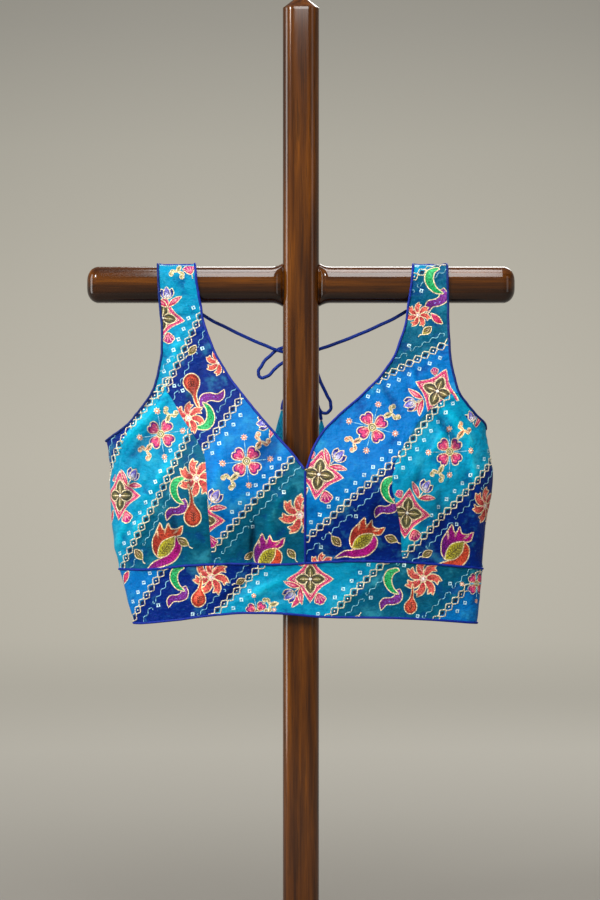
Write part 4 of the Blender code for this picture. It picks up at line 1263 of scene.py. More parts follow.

# %% [markdown]
# Each motif is set one by one: which panel, which motif, how far from the middle and how high, the angle it
# is turned by, and its size. Light stripes carry the flowers and the stars, dark ones the wheels and
# paisleys.

# %% Where the motifs go
PLACED = {
    # motif, distance from the middle, height, angle in degrees, and size in hundredths
    "front_centre_left": """
        fan -118 729 20 90, gold-sprig -130 741 165 80, star -149 682 -8 90, bloom -143 693 4 85,
        seed -113 652 145 80, pinwheel -88 634 20 66, teardrop -118 616 -166 92, crescent -103 588 168 98,
        pinwheel -120 574 0 80, bloom -24 571 98 90, orange-sprig -48 541 -32 85, flower -58 528 6 98,
        gold-sprig -66 515 128 90, star -107 465 0 98, bloom -99 477 -30 90, pinwheel -1 471 0 100,
        pink-paisley -36 426 0 92, seed -14 434 -140 80, seed -60 424 -60 70
    """,
    "front_side_left": """
        flower -150 557 8 95, gold-sprig -144 569 -22 80, orange-sprig -159 547 136 90,
        star -194 491 0 98, bloom -187 501 -34 85, pinwheel -111 510 14 95, crescent -127 485 0 97,
        teardrop -115 465 6 98, paisley -144 436 4 98, seed -132 445 -118 90, seed -178 433 -138 90
    """,
    "front_centre_right": """
        crescent 150 710 10 101, pinwheel 126 685 0 62, leaf 152 676 60 90, seed 140 672 130 80,
        leaf 108 660 20 60, star 146 603 -22 95, bloom 131 595 112 86, gold-sprig 88 575 -66 85,
        flower 76 564 -15 98, orange-sprig 65 552 116 85, star 19 514 -8 98, bloom 29 522 -44 90,
        crescent 97 486 -4 94, paisley 66 443 -16 92, seed 42 438 42 90, seed 90 448 -112 90,
        pinwheel 22 417 0 62, bloom 187 563 26 80
    """,
    "front_side_right": """
        flower 159 538 2 95, orange-sprig 168 552 -32 85, gold-sprig 152 524 150 85, star 113 473 -6 98,
        bloom 125 488 -34 88, pinwheel 198 480 0 92, pink-paisley 165 432 -8 102, seed 140 432 120 80
    """,
    "band_front": """
        leaf -190 396 -20 90, crescent -127 391 2 92, pinwheel -96 404 0 90, teardrop -110 377 -8 80,
        star 10 402 0 92, bloom 0 394 128 86, gold-sprig -24 376 100 80, flower -47 366 10 72,
        crescent 102 388 0 94, pinwheel 131 402 10 92, teardrop 117 369 -8 70, flower 189 396 0 72,
        seed -60 402 118 70, fan 62 362 150 80
    """,
    "back_left": """
        flower -132 720 0 80, bloom -128 668 -20 85, star -112 640 0 85, pinwheel -146 622 10 80,
        crescent -122 592 4 100, paisley -138 545 10 95, seed -96 560 -30 90, teardrop -104 506 -20 90,
        pinwheel -64 500 0 90, flower -166 500 -8 95, gold-sprig -150 486 -120 85, star -122 462 0 95,
        bloom -134 474 40 90, flower -56 440 0 92, gold-sprig -72 450 70 85, paisley -178 440 0 90,
        crescent -18 460 0 94, orange-sprig -94 432 -100 80
    """,
    "back_right": """
        pinwheel 138 716 0 80, crescent 136 678 0 94, star 132 628 10 90, bloom 122 640 36 85,
        flower 118 576 -8 95, gold-sprig 128 592 -30 80, orange-sprig 106 562 130 85, star 66 520 0 90,
        bloom 80 532 -40 88, paisley 160 534 10 95, pinwheel 128 492 10 95, crescent 96 480 0 100,
        seed 150 500 -60 90, teardrop 176 470 20 90, flower 48 456 0 95, gold-sprig 60 470 -40 85,
        star 118 436 0 90, bloom 20 432 120 80, pink-paisley 178 436 0 80
    """,
    "band_back_left": """
        star -150 388 0 85, bloom -136 396 -60 80, flower -96 386 0 90, gold-sprig -112 390 90 80,
        paisley -46 384 0 80, pinwheel -8 392 0 85
    """,
    "band_back_right": """
        pinwheel 30 388 0 90, crescent 62 386 0 94, flower 108 386 6 90, orange-sprig 124 392 -70 80,
        star 160 388 0 85, seed 84 372 60 80
    """,
}


def ink_at(base, tip, low, high):
    """The colour of a fill as a function of the spot."""
    first, last = np.array(INKS[base]), np.array(INKS[tip])
    run = high - low

    def colour(points):
        share = np.clip(((points - low) @ run) / max(run @ run, 1e-9), 0, 1)[..., None]
        return first * (1 - share) + last * share

    return colour


def stamp(panel, kind, x, height, angle, size):
    move = mover(MAP[panel.face].flat_at(x, height), angle, size / 100)
    for path, base, tip, low, high in MOTIFS[kind].fills:
        panel.fills.append((move(path), ink_at(base, tip, move(low), move(high))))
    for thread, path in MOTIFS[kind].threads:
        panel.lines[thread].append(move(path))


for name, rows in PLACED.items():
    for kind, *numbers in map(str.split, rows.split(",")):
        stamp(PANELS[name], kind, *map(int, numbers))
print(sum(len(panel.fills) for panel in PANELS.values()), "printed shapes")

# %% [markdown]
# Along every line between two stripes runs a chain of square links, and beside it on the darker side a thin
# curling vine. Rows of small hollow squares follow the chain on the lighter side. They all pass under the
# motifs.

# %% Chains, vines and squares
LINK = 9.7  # from one link to the next
LINK_LENGTH, LINK_WIDTH = 5.9, 4.3  # half of each
SQUARE = 2.7  # half of a small square's diagonal
VINE_LENGTH = 46
VINE_WAVE = 10.0
BESIDE = 11.5  # how far the vine is from the chain
RUN_ON = 30  # how far a chain is followed past the ends of its line
SQUARE_ROWS = ((3, 12.6, 10.2), (14, 50, -17))  # where a row starts, its step, and its way from the chain
# The lines across each panel, and those with their darker stripe below them
LINES_ON = {name: rows[0] for name, rows in STRIPES.items()}
LINES_ON["front_centre_left"] += ("slip",)
DARK_BELOW = {"A", "C", "D", "F", "H", "I", "K", "P", "Q", "S", "T", "V", "W", "top"}


def free(panel, points):
    """Which points of the cloth lie on a panel, and outside its motifs."""
    kept = inside(points, panel.outline)
    for path, _ in panel.motif_fills:
        kept &= ~inside(points, path)
    return kept


def vine():
    """A wavy tendril that hooks over at each end."""
    y = np.arange(0, VINE_LENGTH - 8, 0.6)
    wave = np.stack([1.3 * np.sin(y * 2 * math.pi / VINE_WAVE), y], -1)
    angle = np.linspace(0, 4.4, 12)
    curl = 1.9 * (1 - angle / 8)
    hook = np.stack([1.9 - curl * np.cos(angle), curl * np.sin(angle)], -1)
    return [wave, hook + [wave[-1, 0], wave[-1, 1]], hook * [-1, -1]]


def lay_line(panel, name):
    start, end = chain_ends(panel.face, name)
    run = unit(end - start)
    start, end = start - RUN_ON * run, end + RUN_ON * run
    length = float(np.linalg.norm(end - start))
    angle = math.degrees(math.atan2(run[1], run[0])) - 90
    place = mover(start, angle)
    link = np.array([(0, LINK_LENGTH), (LINK_WIDTH, 0), (0, -LINK_LENGTH), (-LINK_WIDTH, 0)])
    below = []
    for y in np.arange(LINK / 2, length, LINK):
        panel.lines["gold"].append(place(np.vstack([link, link[:1]]) + [0, y]))
        below.append((place(link * 0.50 + [0, y]), plain("ink")))
        if int(y / LINK) % 2 == 0:
            below.append((place(circle(0.8, 8, (0, y))), plain("white")))
    side = (1 if name in DARK_BELOW else -1) * (1 if panel.face == FRONT else -1)
    for y in np.arange(-20, length, VINE_LENGTH):
        panel.lines["vine"] += [place(path + [side * -BESIDE, y]) for path in vine()]
    for first, step, away in SQUARE_ROWS:
        for y in np.arange(first, length, step):
            below += hollow_square(place((side * away, y)), angle)
    return below


def plain(ink):
    return ink_at(ink, ink, np.zeros(2), np.ones(2))


def hollow_square(place, angle):
    """A square with a smaller one in it, where the dye shows."""
    move = mover(place, angle + 45)
    square = np.array([(-1, -1), (1, -1), (1, 1), (-1, 1)]) * SQUARE * 0.7071
    return [(move(square), plain("ice")), (move(square * 0.42), None)]


def clear_of(panel, rows):
    """Those small shapes that no motif touches."""
    if not rows:
        return []
    paths = [grown(path, 1.0) for path, _ in rows]
    shown = np.split(free(panel, np.vstack(paths)), np.cumsum([len(path) for path in paths])[:-1])
    return [row for row, part in zip(rows, shown) if part.all()]


for name, panel in PANELS.items():
    panel.motif_fills = list(panel.fills)
    small = sum((lay_line(panel, line) for line in LINES_ON[name]), [])
    panel.fills = clear_of(panel, small) + panel.motif_fills
print(sum(len(panel.fills) for panel in PANELS.values()), "printed shapes with the small ones")

# %% [markdown]
# Chains and vines are worked over the print in raised thread: cream gold for the chains and pale silk for
# the vines. Bump alone would vanish where the cloth turns away, so a thread is a narrow ridge of its own
# that follows the cloth. It stops at the panel's edge and where a motif covers it.

# %% Threads
# Width, height and colour of each kind
THREADS = {"gold": (1.30, 0.50, (252, 240, 204)), "vine": (0.85, 0.30, (150, 222, 240))}
THREAD_STEP = 1.1
PROFILE = ((0.5, 0), (0.22, 1), (-0.22, 1), (-0.5, 0))  # across and up, as shares of width and height
SUNK = 0.05  # how far a thread's edges are below the cloth's face


def thread_look(kind, colour):
    look = Look(f"{kind}_thread", Roughness=0.45)
    ply = look.noise(look.place(), 620, detail=1.0)
    shade = look.mix(colour, tuple(0.22 * c for c in colour), ply.ramp(0.47, 0.60) * 0.85)
    return look.finish(Base_Color=shade, Normal=look.bump(ply, 0.3 * MM, 0.8))


THREAD_LOOKS = {kind: thread_look(kind, linear(*ink)) for kind, (_, _, ink) in THREADS.items()}


def runs_of(panel, paths):
    """The parts of some threads that show."""
    paths = [resampled(path, THREAD_STEP) for path in paths]
    every = np.vstack(paths)
    shown = free(panel, every)
    shown[np.cumsum([len(path) for path in paths]) - 1] = False
    edges = np.flatnonzero(np.diff(np.concatenate([[0], shown.astype(int), [0]])))
    return [every[a:b] for a, b in zip(edges[::2], edges[1::2]) if b - a > 2]


def ridge(panel, path, width, height):
    """Four rows of spots round a thread."""
    run = unit(np.gradient(path, axis=0))
    side = np.stack([run[:, 1], -run[:, 0]], -1)
    face = panel.lift + SILK_THICK / 2
    rows = [(side * width * across, height if up else -SUNK) for across, up in PROFILE]
    return [MAP[panel.face].spots(path + aside, face + out) for aside, out in rows]


def sew(panel, kind):
    if not panel.lines[kind]:
        return None
    verts, faces, count = [], [], 0
    for part in runs_of(panel, panel.lines[kind]):
        size = len(part)
        verts += ridge(panel, part, *THREADS[kind][:2])
        for i in range(size - 1):
            pairs = [(count + row * size + i, count + (row + 1) % 4 * size + i) for row in range(4)]
            faces += [(a, b, b + 1, a + 1) for a, b in pairs]
        ends = [[count + row * size + i for row in range(4)] for i in (0, size - 1)]
        faces += [ends[0][::-1], ends[1]]
        count += 4 * size
    name = f"{kind}_{panel.name}"
    faces = faces if panel.face == FRONT else [face[::-1] for face in faces]
    mesh = mesh_of(name, np.vstack(verts), faces, THREAD_LOOKS[kind])
    return mounted(in_scene(name, mesh), "printed_silk")


print("threads of", " and ".join(THREADS))

# %% Cut, lay and sew the panels
for panel in PANELS.values():
    panel.make()
    sewn = [sew(panel, kind) for kind in THREADS]
    print("   threads:", *(len(node.data.polygons) for node in sewn if node), "faces")

# %% [markdown]
# Piping is a cord sewn inside a folded strip of blue cloth. It outlines the neck, the armholes, the centre
# front, the waist and the hem. A ring of points could be swept along each edge by hand, but a curve with a
# round bevel does the same and stays round in every bend.

# %% Piping
FINE_BEAD = 1.35  # the cord pulled tight in its strip
BEAD_STEP = 2.0
UNDER_V = 3  # the centre front's piping ends this far below the V


def tube(name, lines, radius, material, closed=False, sides=3):
    """Round cords along lines of places, in metres."""
    curve = bpy.data.curves.new(name, "CURVE")
    curve.dimensions, curve.use_fill_caps = "3D", True
    curve.bevel_depth, curve.bevel_resolution = radius * MM, sides
    for places in lines:
        spline = curve.splines.new("POLY")
        spline.points.add(len(places) - 1)
        spline.use_cyclic_u = closed
        spline.points.foreach_set("co", np.column_stack([places, np.ones(len(places))]).ravel())
    curve.materials.append(material)
    return in_scene(name, curve)


def trim(name, *ink):
    look = Look(name, Roughness=0.55, Specular_IOR_Level=0.25)
    colour, place = linear(*ink), look.place()
    grain = look.noise(place, (500, 500, 500))
    pulls = look.noise(place, 130, detail=1.0)
    shade = look.mix(colour, tuple(0.45 * c for c in colour), grain.ramp(0.45, 0.75) * 0.6)
    return look.finish(Base_Color=shade, Normal=look.bump(grain * 0.3 + pulls, 0.5 * MM, 0.6))


ROYAL = trim("royal_piping", 0, 38, 146)
NAVY_TRIM = trim("navy_piping", 0, 36, 112)
DORI_INK = trim("navy_cord", 2, 44, 140)
print("piping can be drawn", 2 * FINE_BEAD, "mm thick")

# %% Sew on the piping
def beads(face, path):
    """Spots along the middle of a bead."""
    return list(MAP[face].spots(resampled(path, BEAD_STEP), BEAD_LIFT))


def piping(name, points, material=ROYAL, closed=False, in_frame=True):
    bead = tube("bead_" + name, [points], FINE_BEAD, material, closed)
    return mounted(bead, "royal_piping", *([name] if in_frame else []))


def ring_points(lines):
    """All round the body, from the centre back to the centre back again."""
    back, front = lines[BACK], lines[FRONT]
    near, far = back[back[:, 0] < -GAP][::-1], back[back[:, 0] > GAP][::-1]
    return beads(BACK, near)[:-1] + beads(FRONT, front)[:-1] + beads(BACK, far)


for side in SIDES:
    (neck, arm), (back_neck, back_arm) = (strap_edges(face, side) for face in (FRONT, BACK))
    piping("piping_neck_" + side, beads(FRONT, neck)[:-1] + beads(BACK, back_neck)[::-1])
    armhole = beads(FRONT, arm)[:-1] + beads(BACK, back_arm)[:0:-1]
    piping("piping_armhole_" + side, armhole, NAVY_TRIM, closed=True)
piping("piping_waist", ring_points(WAIST))
piping("piping_hem", ring_points(HEM))
middle = centre_line(FRONT, CENTRE_FRONT, UNDER_WAIST, V_HEIGHT - UNDER_V)
piping("piping_centre_front", beads(FRONT, standing(middle, WAIST[FRONT])))
for side in SIDES:
    ends = [path[-1] for path in strap_edges(FRONT, side)]
    piping("shoulder_" + side, beads(FRONT, np.array(ends)), in_frame=False)
print("seven lengths of piping, and a short one on each shoulder")

# %% [markdown]
# Behind, the neck is held by the dori: two cords from the straps, knotted in a bow. Each runs from its
# strap to the knot, round its loop of the bow, back through the knot and down its tail to a small stuffed
# cone of the blouse's silk, the latkan. A cord's way is set point by point, as it is tied by hand.

# %% The dori's ways
KNOT = (0, 28.5, 645)
KNOT_RADII = (8, 5.5, 6.5)
DORI = {
    # each cord's way: the span, a turn in the knot, the loop of the bow, back through the knot, the tail
    "left": (
        (-107.9, 22.8, 687.9), (-103, 22.4, 684.6), (-82, 22.6, 673.6), (-60, 23.6, 662.8),
        (-38, 25.4, 653.4), (-22, 27.2, 647.4), (-9.4, 28.5, 644.6),
        (-1.4, 27.6, 642.2), (3.6, 28.2, 644.6), (4.0, 29.0, 649.4), (-0.4, 29.4, 651.8),
        (-5.6, 29.5, 651.8), (-11, 30, 653.6), (-19.4, 30.4, 651.4), (-33.5, 31, 642.4), (-43, 31.4, 631),
        (-46.2, 31.6, 623.8), (-43.8, 31.4, 619), (-38.4, 31, 619.6), (-29, 30.4, 627.6), (-19.4, 29.8, 635),
        (-8.4, 29, 640),
        (-3.0, 29.0, 641.6), (1.4, 29.2, 644.2), (4.4, 28.8, 641.8), (1.8, 27.8, 638.2),
        (-3.4, 27, 637.6), (-6.4, 26.2, 629), (-11.4, 27, 613), (-16.6, 30.4, 598), (-20.2, 33.2, 587.6),
        (-20.6, 33.8, 584),
    ),
    "right": (
        (115.2, 22.8, 691.2), (109, 22.4, 687.4), (86, 22.6, 675.8), (62, 23.6, 665.2), (40, 25.4, 656.6),
        (22, 27.2, 650.4), (9.4, 28.5, 647),
        (1.8, 27.8, 647.6), (-3.4, 28.0, 645.6), (-3.2, 28.8, 640.8), (2.6, 29.6, 639.6),
        (8.6, 30, 640.4), (14, 31.4, 632), (21.6, 33.2, 613.6), (28.6, 35, 599), (32.4, 35.8, 589.4),
        (30.6, 36, 582.2), (25.4, 36, 580.2), (19.6, 36, 585), (12.6, 35.6, 603), (7.2, 34.4, 624),
        (4.2, 32.6, 638),
        (1.0, 31.2, 643.6), (-2.6, 29.2, 646.0), (-4.0, 27.2, 642.4), (-1.6, 26.0, 639.4),
        (1.6, 25.6, 638), (5, 25, 628), (11.6, 25.6, 608), (17.4, 27, 591), (20.8, 29.6, 580),
        (22, 32.4, 573.2),
    ),
}
HOOPS = ((0.0, 0.2, 0.78), (0.5, -0.35, 0.9), (-0.55, 0.3, 0.86))  # lean, tilt and size of the knot's turns
LATKANS = {"left": (-20.7, 34.1, 583.2), "right": (22.2, 34.1, 572.4)}
print(*(f"{side} through {len(way)} points" for side, way in DORI.items()), sep=", ")

# %% Latkans
# Radius at each drop below the top
LATKAN_PROFILE = ((0.9, 0), (2.6, 6), (6.6, 21), (10.8, 36), (12.8, 43), (11.6, 46), (6, 47.4))
LATKAN_HEM = 43
LATKAN_BAND = 38  # the drop where the darker blue starts


def latkan(side, pleats=9, sides=72):
    """A gathered cone: pleats that start as nothing at the cord and open towards the bottom."""
    radius, drop = np.array(LATKAN_PROFILE, float).T
    drops = np.concatenate([np.linspace(0, LATKAN_HEM, 26), np.linspace(LATKAN_HEM + 0.6, drop[-1], 9)])
    radii = np.interp(drops, drop, radius)[:, None]
    angle = np.linspace(0, 2 * math.pi, sides, endpoint=False)
    fullness = np.clip(drops / LATKAN_HEM, 0, 1) * np.where(drops > LATKAN_HEM, 0.5, 1)
    wave = 1 + 0.07 * np.cos(pleats * angle + 0.8 * np.sin(2 * angle)) * (1.3 - fullness[:, None])
    down = np.broadcast_to(-drops[:, None], wave.shape)
    spots = np.stack([radii * np.cos(angle) * wave, radii * np.sin(angle) * wave, down], -1)
    count, total = len(drops), len(drops) * sides
    ends = [tuple(range(sides)), tuple(range(total - sides, total))[::-1]]
    faces = ring_faces(count, sides, turned=True) + ends
    name = "latkan_silk_" + side
    mesh = mesh_of(name, (LATKANS[side] + spots).reshape(-1, 3) * MM, faces, SILK)
    place = np.stack([np.tile(angle * 12 + 200, count), np.repeat(-drops, sides), np.zeros(total)], -1)
    phases = np.repeat(np.where(drops > LATKAN_BAND, 1.5, 0.5), sides)
    dyed(mesh, phases, np.zeros(total), place, np.zeros(len(mesh.loops) * 4))
    return mounted(in_scene(name, mesh), "printed_silk", f"latkan_{side}")


print("latkans of", LATKAN_PROFILE[-1][1], "mm")

# %% Tie the dori
CORD = 1.85
CORD_STEP = 1.6


def route(points, step):
    """A smooth line through points, with a spot at every step or so."""
    places = travelled(points)
    stations = np.linspace(0, places[-1], max(4, round(places[-1] / step)))
    return np.stack([smooth_curve(places, column)(stations) for column in np.array(points).T], -1) * MM


def dori(side):
    points = route(DORI[side], CORD_STEP)
    cord = tube("dori_" + side, [points], CORD, DORI_INK, sides=4)
    mounted(cord, "navy_cord", *(f"dori_{part}_{side}" for part in ("span", "bow", "tail")))
    length = float(travelled(points)[-1])
    latkan(side)
    print(f"dori {side}: {length * 1000:.0f} mm")


def knot():
    """The cords' turns round each other, as three hoops pulled tight."""
    angle = np.linspace(0, 2 * math.pi, 28, endpoint=False)
    turns = []
    for lean, tilt, size in HOOPS:
        x = 0.6 * (math.sin(lean) * np.cos(angle) * 5 + 1.4 * np.sin(angle + tilt) + 6 * lean)
        y = KNOT_RADII[1] * size * np.sin(angle) * 0.72 + 1
        z = (KNOT_RADII[2] - 1.2) * size * np.cos(angle)
        turns.append((np.stack([x, y, z], -1) + KNOT) * MM)
    return mounted(tube("dori_hitch", turns, CORD, DORI_INK, closed=True, sides=4), "navy_cord", "dori_knot")


for side in SIDES:
    dori(side)
knot()

# %% [markdown]
# The placket behind the back opening carries flat hooks, which are not drawn. It is a plain strip of the
# blouse's silk, dyed as the left back, a little inside the blouse.

# %% Placket
PLACKET_HALF = 13
PLACKET_INSIDE = -(CLOTH / 2 + 2 * GAP + SILK_THICK / 2)
PLACKET_FOOT = HEM_LEVEL + 16
sides = (-PLACKET_HALF, PLACKET_HALF)
near, far = (centre_line(BACK, x, PLACKET_FOOT, BACK_NECK - 2 * BEAD) for x in sides)
Panel("back_placket", BACK, np.vstack([near, far[::-1]]), dyed_as="back_left", lift=PLACKET_INSIDE).make()

# %% [markdown]
# The stand is turned and planed from a dark hardwood and lacquered. Its grain runs along each piece: fine
# dark streaks in a red-brown ground, stretched far along the grain and close across it. Noise in the piece's
# own space runs on round its edges, as grain does, and a coat over it is the lacquer.

# %% Lacquered wood
STAIN = ((0.28, (34, 13, 3)), (0.44, (66, 32, 3)), (0.55, (92, 48, 4)), (0.74, (138, 78, 9)))
STAIN = [(place, linear(*tone)) for place, tone in STAIN]


def lacquered(name, along, painted_shade_below=None):
    """Wood whose grain runs along an axis: 0, 1 or 2. Below a height, in metres, it is darkened with painted
    shade.
    """
    look = Look(name, Specular_IOR_Level=0.04, Coat_Weight=1.0, Coat_Roughness=0.09, Coat_IOR=1.48)
    place = look.place()
    fine, broad = (
        look.noise(place, tuple(far if axis == along else near for axis in range(3)), detail, roughness)
        for near, far, detail, roughness in ((420.0, 14.0, 4.0, 0.65), (110.0, 5.0, 3.0, 0.6))
    )
    colour = look.blend(STAIN, broad * 0.7 + fine * 0.3)
    colour = look.mix(colour, linear(26, 11, 3), fine.ramp(0.54, 0.66) * 0.6)
    colour = look.mix(colour, linear(44, 18, 6), broad.ramp(0.40, 0.32) * 0.5)
    if painted_shade_below:
        # Painted shade on the underside of the arms, darker below the bar's middle.
        height = look.node("SeparateXYZ", {}, {0: place}, "Z")
        below = height.ramp(painted_shade_below + 8 * MM, painted_shade_below - 12 * MM)
        colour = look.mix(colour, (0.16, 0.14, 0.16), below, how="MULTIPLY")
    relief = look.bump(fine * 0.35 + broad, 0.35 * MM, 0.30)
    return look.finish(Base_Color=colour, Roughness=0.34 + fine * 0.16, Normal=relief)


POST_WOOD = lacquered("lacquered_wood_upright", 2)
ARM_WOOD = lacquered("lacquered_wood_arms", 0, painted_shade_below=BAR_HEIGHT * MM)
BASE_WOOD = lacquered("lacquered_wood_base", 0)
print("wood for the upright, the arms and the base")

# %% The stand
TIP_HEIGHT = 14
BAR_FLARE = 3
BAR_WAIST = 6
BASE_RADIUS = 150
BASE_THICK = 25
BASE_ROUND = 8
# How wide the tip is at each share of its height, and how far the bar is drawn in at each way from its end
TIP = ((0.0, 1.0), (0.06, 0.985), (0.12, 0.93), (0.72, 0.40), (0.80, 0.34), (0.92, 0.22), (0.97, 0.16),
       (1.0, 0.08))
BAR_END = ((11, 0), (8, 0.9), (5.5, 2.3), (3.4, 4.4), (1.6, 7.2), (0.5, 10), (0, 12.5))


def rounded(half_a, half_b, corner, per_corner=9):
    """A rectangle with round corners, as points around the middle."""
    points = []
    for quarter, (sign_a, sign_b) in enumerate(((1, 1), (-1, 1), (-1, -1), (1, -1))):
        for i in range(per_corner):
            angle = math.pi / 2 * (quarter + i / (per_corner - 1))
            a = sign_a * (half_a - corner) + corner * math.cos(angle)
            points.append((a, sign_b * (half_b - corner) + corner * math.sin(angle)))
    return points


def loft(name, rings, material, sharp=35):
    """A closed body through rings of equally many points, in millimetres."""
    count, total = len(rings[0]), len(rings) * len(rings[0])
    faces = ring_faces(len(rings), count) + [tuple(range(count))[::-1], tuple(range(total - count, total))]
    mesh = mesh_of(name, np.array(rings).reshape(-1, 3) * MM, faces, material)
    mesh.set_sharp_from_angle(angle=math.radians(sharp))
    return in_scene(name, mesh)


print("a round corner takes", len(rounded(1, 1, 1)) // 4, "points")

# %% Post, arms and base
def post_rings(grow=0.0):
    half = STOCK / 2 + grow
    heights = np.linspace(BASE_THICK + GAP, POST_TOP - TIP_HEIGHT - 2, 60)
    stations = [(z, half) for z in heights] + [(POST_TOP - TIP_HEIGHT * (1 - a), half * s) for a, s in TIP]
    share = (STOCK_ROUND + grow) / half
    return [[(x, y, z) for x, y in rounded(size, size, size * share)] for z, size in stations]


def arm_rings(side):
    half, end = STOCK / 2, BAR_LENGTH / 2
    stations = [(x, half - BAR_WAIST, half + BAR_FLARE) for x in (4, half)]
    for step in (0.6, 1.5, 2.7, 4.2, 6, 8, 10.5, 13):
        slim, flared = max(0, 1 - step / 9) ** 1.6, (1 - step / 13) ** 2.2
        stations.append((half + step, half - BAR_WAIST * slim, half + (BAR_FLARE + 1) * flared))
    stations += [(x, half, half) for x in np.linspace(half + 24, end - 14, 26)]
    stations += [(end - x, half - inset, half - inset) for x, inset in BAR_END]
    rings = []
    for distance, deep, high in stations:
        corners = rounded(deep, high, STOCK_ROUND * deep / half)
        rings.append([(-sign(side) * distance, y, BAR_HEIGHT + z) for y, z in corners])
    return rings if side == "right" else [ring[::-1] for ring in rings]


def base_rings():
    rim = [(BASE_RADIUS - 1.2, 0), (BASE_RADIUS, 1.2), (BASE_RADIUS, BASE_THICK - BASE_ROUND)]
    for angle in math.pi / 2 * np.arange(1, 9) / 8:
        inset, drop = BASE_ROUND * (1 - math.cos(angle)), BASE_ROUND * (1 - math.sin(angle))
        rim.append((BASE_RADIUS - inset, BASE_THICK - drop))
    turns = np.linspace(0, 2 * math.pi, 160, endpoint=False)
    return [[(radius * math.cos(a), radius * math.sin(a), z) for a in turns] for radius, z in rim]


print("rings for post, arm and base:", len(post_rings()), len(arm_rings("left")), len(base_rings()))

# %% Put up the stand, with its arms scribed to the post
mounted(loft("wood_base", base_rings(), BASE_WOOD), "walnut_lacquer", "stand_base")
mounted(loft("wood_post", post_rings(), POST_WOOD, 20), "walnut_lacquer", "stand_post")
cutter = loft("post_cutter", post_rings(GAP), POST_WOOD)
for side in SIDES:
    arm = loft(f"wood_arm_{side}", arm_rings(side), ARM_WOOD)
    cut = arm.modifiers.new("scribe", "BOOLEAN")
    cut.operation, cut.object = "DIFFERENCE", cutter
    scribed = bpy.data.meshes.new_from_object(arm.evaluated_get(bpy.context.evaluated_depsgraph_get()))
    arm.modifiers.clear()
    arm.data = scribed
    mounted(arm, "walnut_lacquer", f"stand_arm_{side}")
bpy.data.objects.remove(cutter)
print("stand made")

# %% [markdown]
# The studio is one seamless sheet of warm grey paper, a floor that bends up into a wall far behind, the same
# shape all round. The paper glows with painted light, darker at the foot and at the top, to the sides and in
# front, as painted falloff of the light. Large soft lights hang overhead and to the left.

# %% Studio
SWEEP_FLOOR = 6.6
SWEEP_BEND = 3.4
SWEEP_WALL = 8.0
SWEEP_SIDES = 96
SWEEP_DROP = 0.0005  # the paper lies this far under the base
PAPER = 0.16  # how much light the paper throws back
FLOOR_GLOW = (
    (0.0, (0.100, 0.090, 0.074)), (0.07, (0.150, 0.138, 0.116)), (0.16, (0.245, 0.230, 0.196)),
    (0.27, (0.330, 0.312, 0.266)), (0.62, (0.430, 0.406, 0.344)), (1.0, (0.520, 0.488, 0.410)),
)
WALL_GLOW = (
    (0.0, (1, 1, 1)), (0.13, (0.99, 0.99, 0.99)), (0.27, (0.88, 0.885, 0.89)), (0.41, (0.74, 0.75, 0.76)),
    (0.53, (0.55, 0.56, 0.58)), (0.75, (0.30, 0.30, 0.31)), (1.0, (0.22, 0.22, 0.23)),
)


def paper():
    look = Look("studio_paper", Roughness=0.95, Specular_IOR_Level=0.1, Emission_Strength=1.0)
    place = look.place()
    aside, ahead, height = (look.node("SeparateXYZ", {}, {0: place}, axis) for axis in "XYZ")
    away = look.node("VectorMath", {"operation": "LENGTH"}, {0: place}, 1)
    # Painted light: the paper's glow is darker near the foot, up the wall, to the sides and in front.
    floor, wall = look.blend(FLOOR_GLOW, away * 0.1), look.blend(WALL_GLOW, height * 0.25)
    glow = look.mix(floor, wall, 1.0, how="MULTIPLY")
    glow = look.mix(glow, (0.62, 0.62, 0.62), aside.math("ABSOLUTE").ramp(0.15, 3.4) * 0.9, how="MULTIPLY")
    glow = look.mix(glow, (0.58, 0.58, 0.58), ahead.ramp(0.4, -2.4), how="MULTIPLY")
    return look.finish(Base_Color=(PAPER, PAPER * 0.96, PAPER * 0.88), Emission_Color=glow)


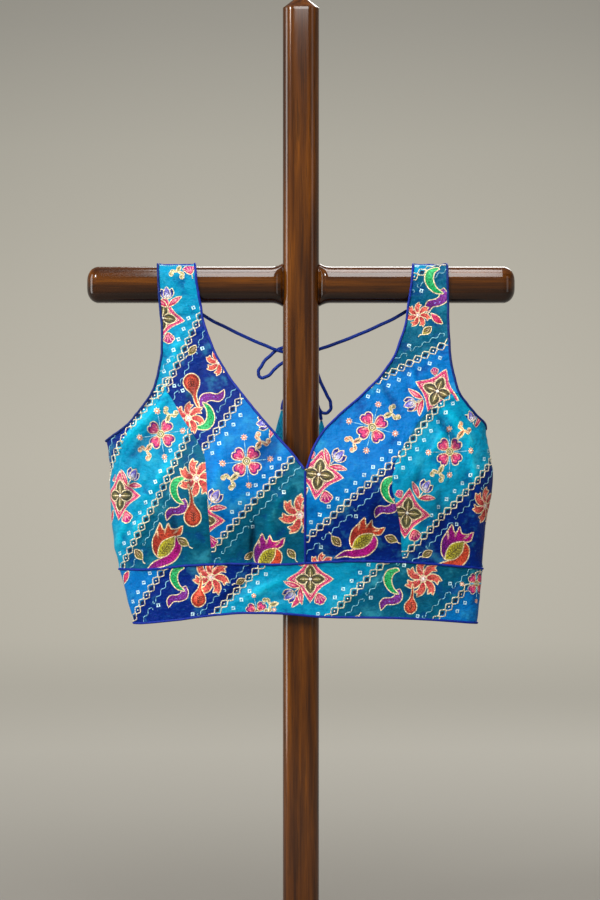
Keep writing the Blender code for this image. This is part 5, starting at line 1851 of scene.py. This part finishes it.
def make_sweep():
    profile = [(r, 0.0) for r in np.linspace(0.6, SWEEP_FLOOR, 12)]
    for angle in math.pi / 2 * np.arange(1, 25) / 24:
        profile.append((SWEEP_FLOOR + SWEEP_BEND * math.sin(angle), SWEEP_BEND * (1 - math.cos(angle))))
    profile.append((SWEEP_FLOOR + SWEEP_BEND, SWEEP_WALL))
    turns = np.linspace(0, 2 * math.pi, SWEEP_SIDES, endpoint=False)
    verts = [(r * math.cos(a), r * math.sin(a), z - SWEEP_DROP) for r, z in profile for a in turns]
    faces = [(len(verts), j, (j + 1) % SWEEP_SIDES) for j in range(SWEEP_SIDES)]
    faces += ring_faces(len(profile), SWEEP_SIDES, turned=True)
    mesh = mesh_of("studio_sweep", verts + [(0, 0, -SWEEP_DROP)], faces, paper())
    in_scene("studio_sweep", mesh)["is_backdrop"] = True


make_sweep()
print("sweep", 2 * (SWEEP_FLOOR + SWEEP_BEND), "m across")

# %% Lights
LIGHTS = (
    # place, aim, width, height, power, spread in degrees, colour
    ("panel", (0.06, -1.92, 2.10), (0.04, 0.0, 0.66), 0.60, 1.95, 36, 180, (1.0, 0.985, 0.96)),
    ("overhead", (0.06, -0.55, 3.0), (0.04, 0.0, 0.66), 0.60, 1.2, 24, 180, (1.0, 0.985, 0.96)),
    ("strip_left", (-2.7, -0.35, 0.95), (0, 0, 0.75), 1.0, 2.2, 15, 120, (1.0, 0.99, 0.97)),
    ("key_left", (-1.8, -2.3, 1.75), (0, 0, 0.55), 0.6, 0.8, 58, 180, (1.0, 0.99, 0.97)),
    ("fill_right", (2.6, -2.4, 1.0), (0, 0, 0.55), 1.2, 1.6, 6, 180, (1.0, 0.99, 0.98)),
    ("back", (0.6, 2.8, 2.3), (0, 0, 0.60), 1.8, 1.4, 48, 180, (1.0, 0.99, 0.97)),
)
AIR = (0.93, 0.95, 1.0)
AIR_STRENGTH = 0.18


def make_lights():
    for name, place, aim, width, height, power, spread, colour in LIGHTS:
        data = bpy.data.lights.new("studio_" + name, "AREA")
        data.shape, data.size, data.size_y = "RECTANGLE", width, height
        data.energy, data.color, data.spread = power, colour, math.radians(spread)
        light = in_scene("studio_" + name, data)
        light.location = place
        light.rotation_euler = (Vector(aim) - Vector(place)).to_track_quat("-Z", "Y").to_euler()
    world = bpy.data.worlds.new("studio_air")
    world.use_nodes = True
    background = world.node_tree.nodes["Background"]
    background.inputs["Color"].default_value = (*AIR, 1)
    background.inputs["Strength"].default_value = AIR_STRENGTH
    bpy.context.scene.world = world
    bpy.context.scene.view_settings.view_transform = "Standard"


make_lights()
print(len(LIGHTS), "soft lights")

# %% Finish
boxes = {"cad": CAD_BOX, "visual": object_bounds()}
{name: [list(map(float, corner)) for corner in box] for name, box in boxes.items()}
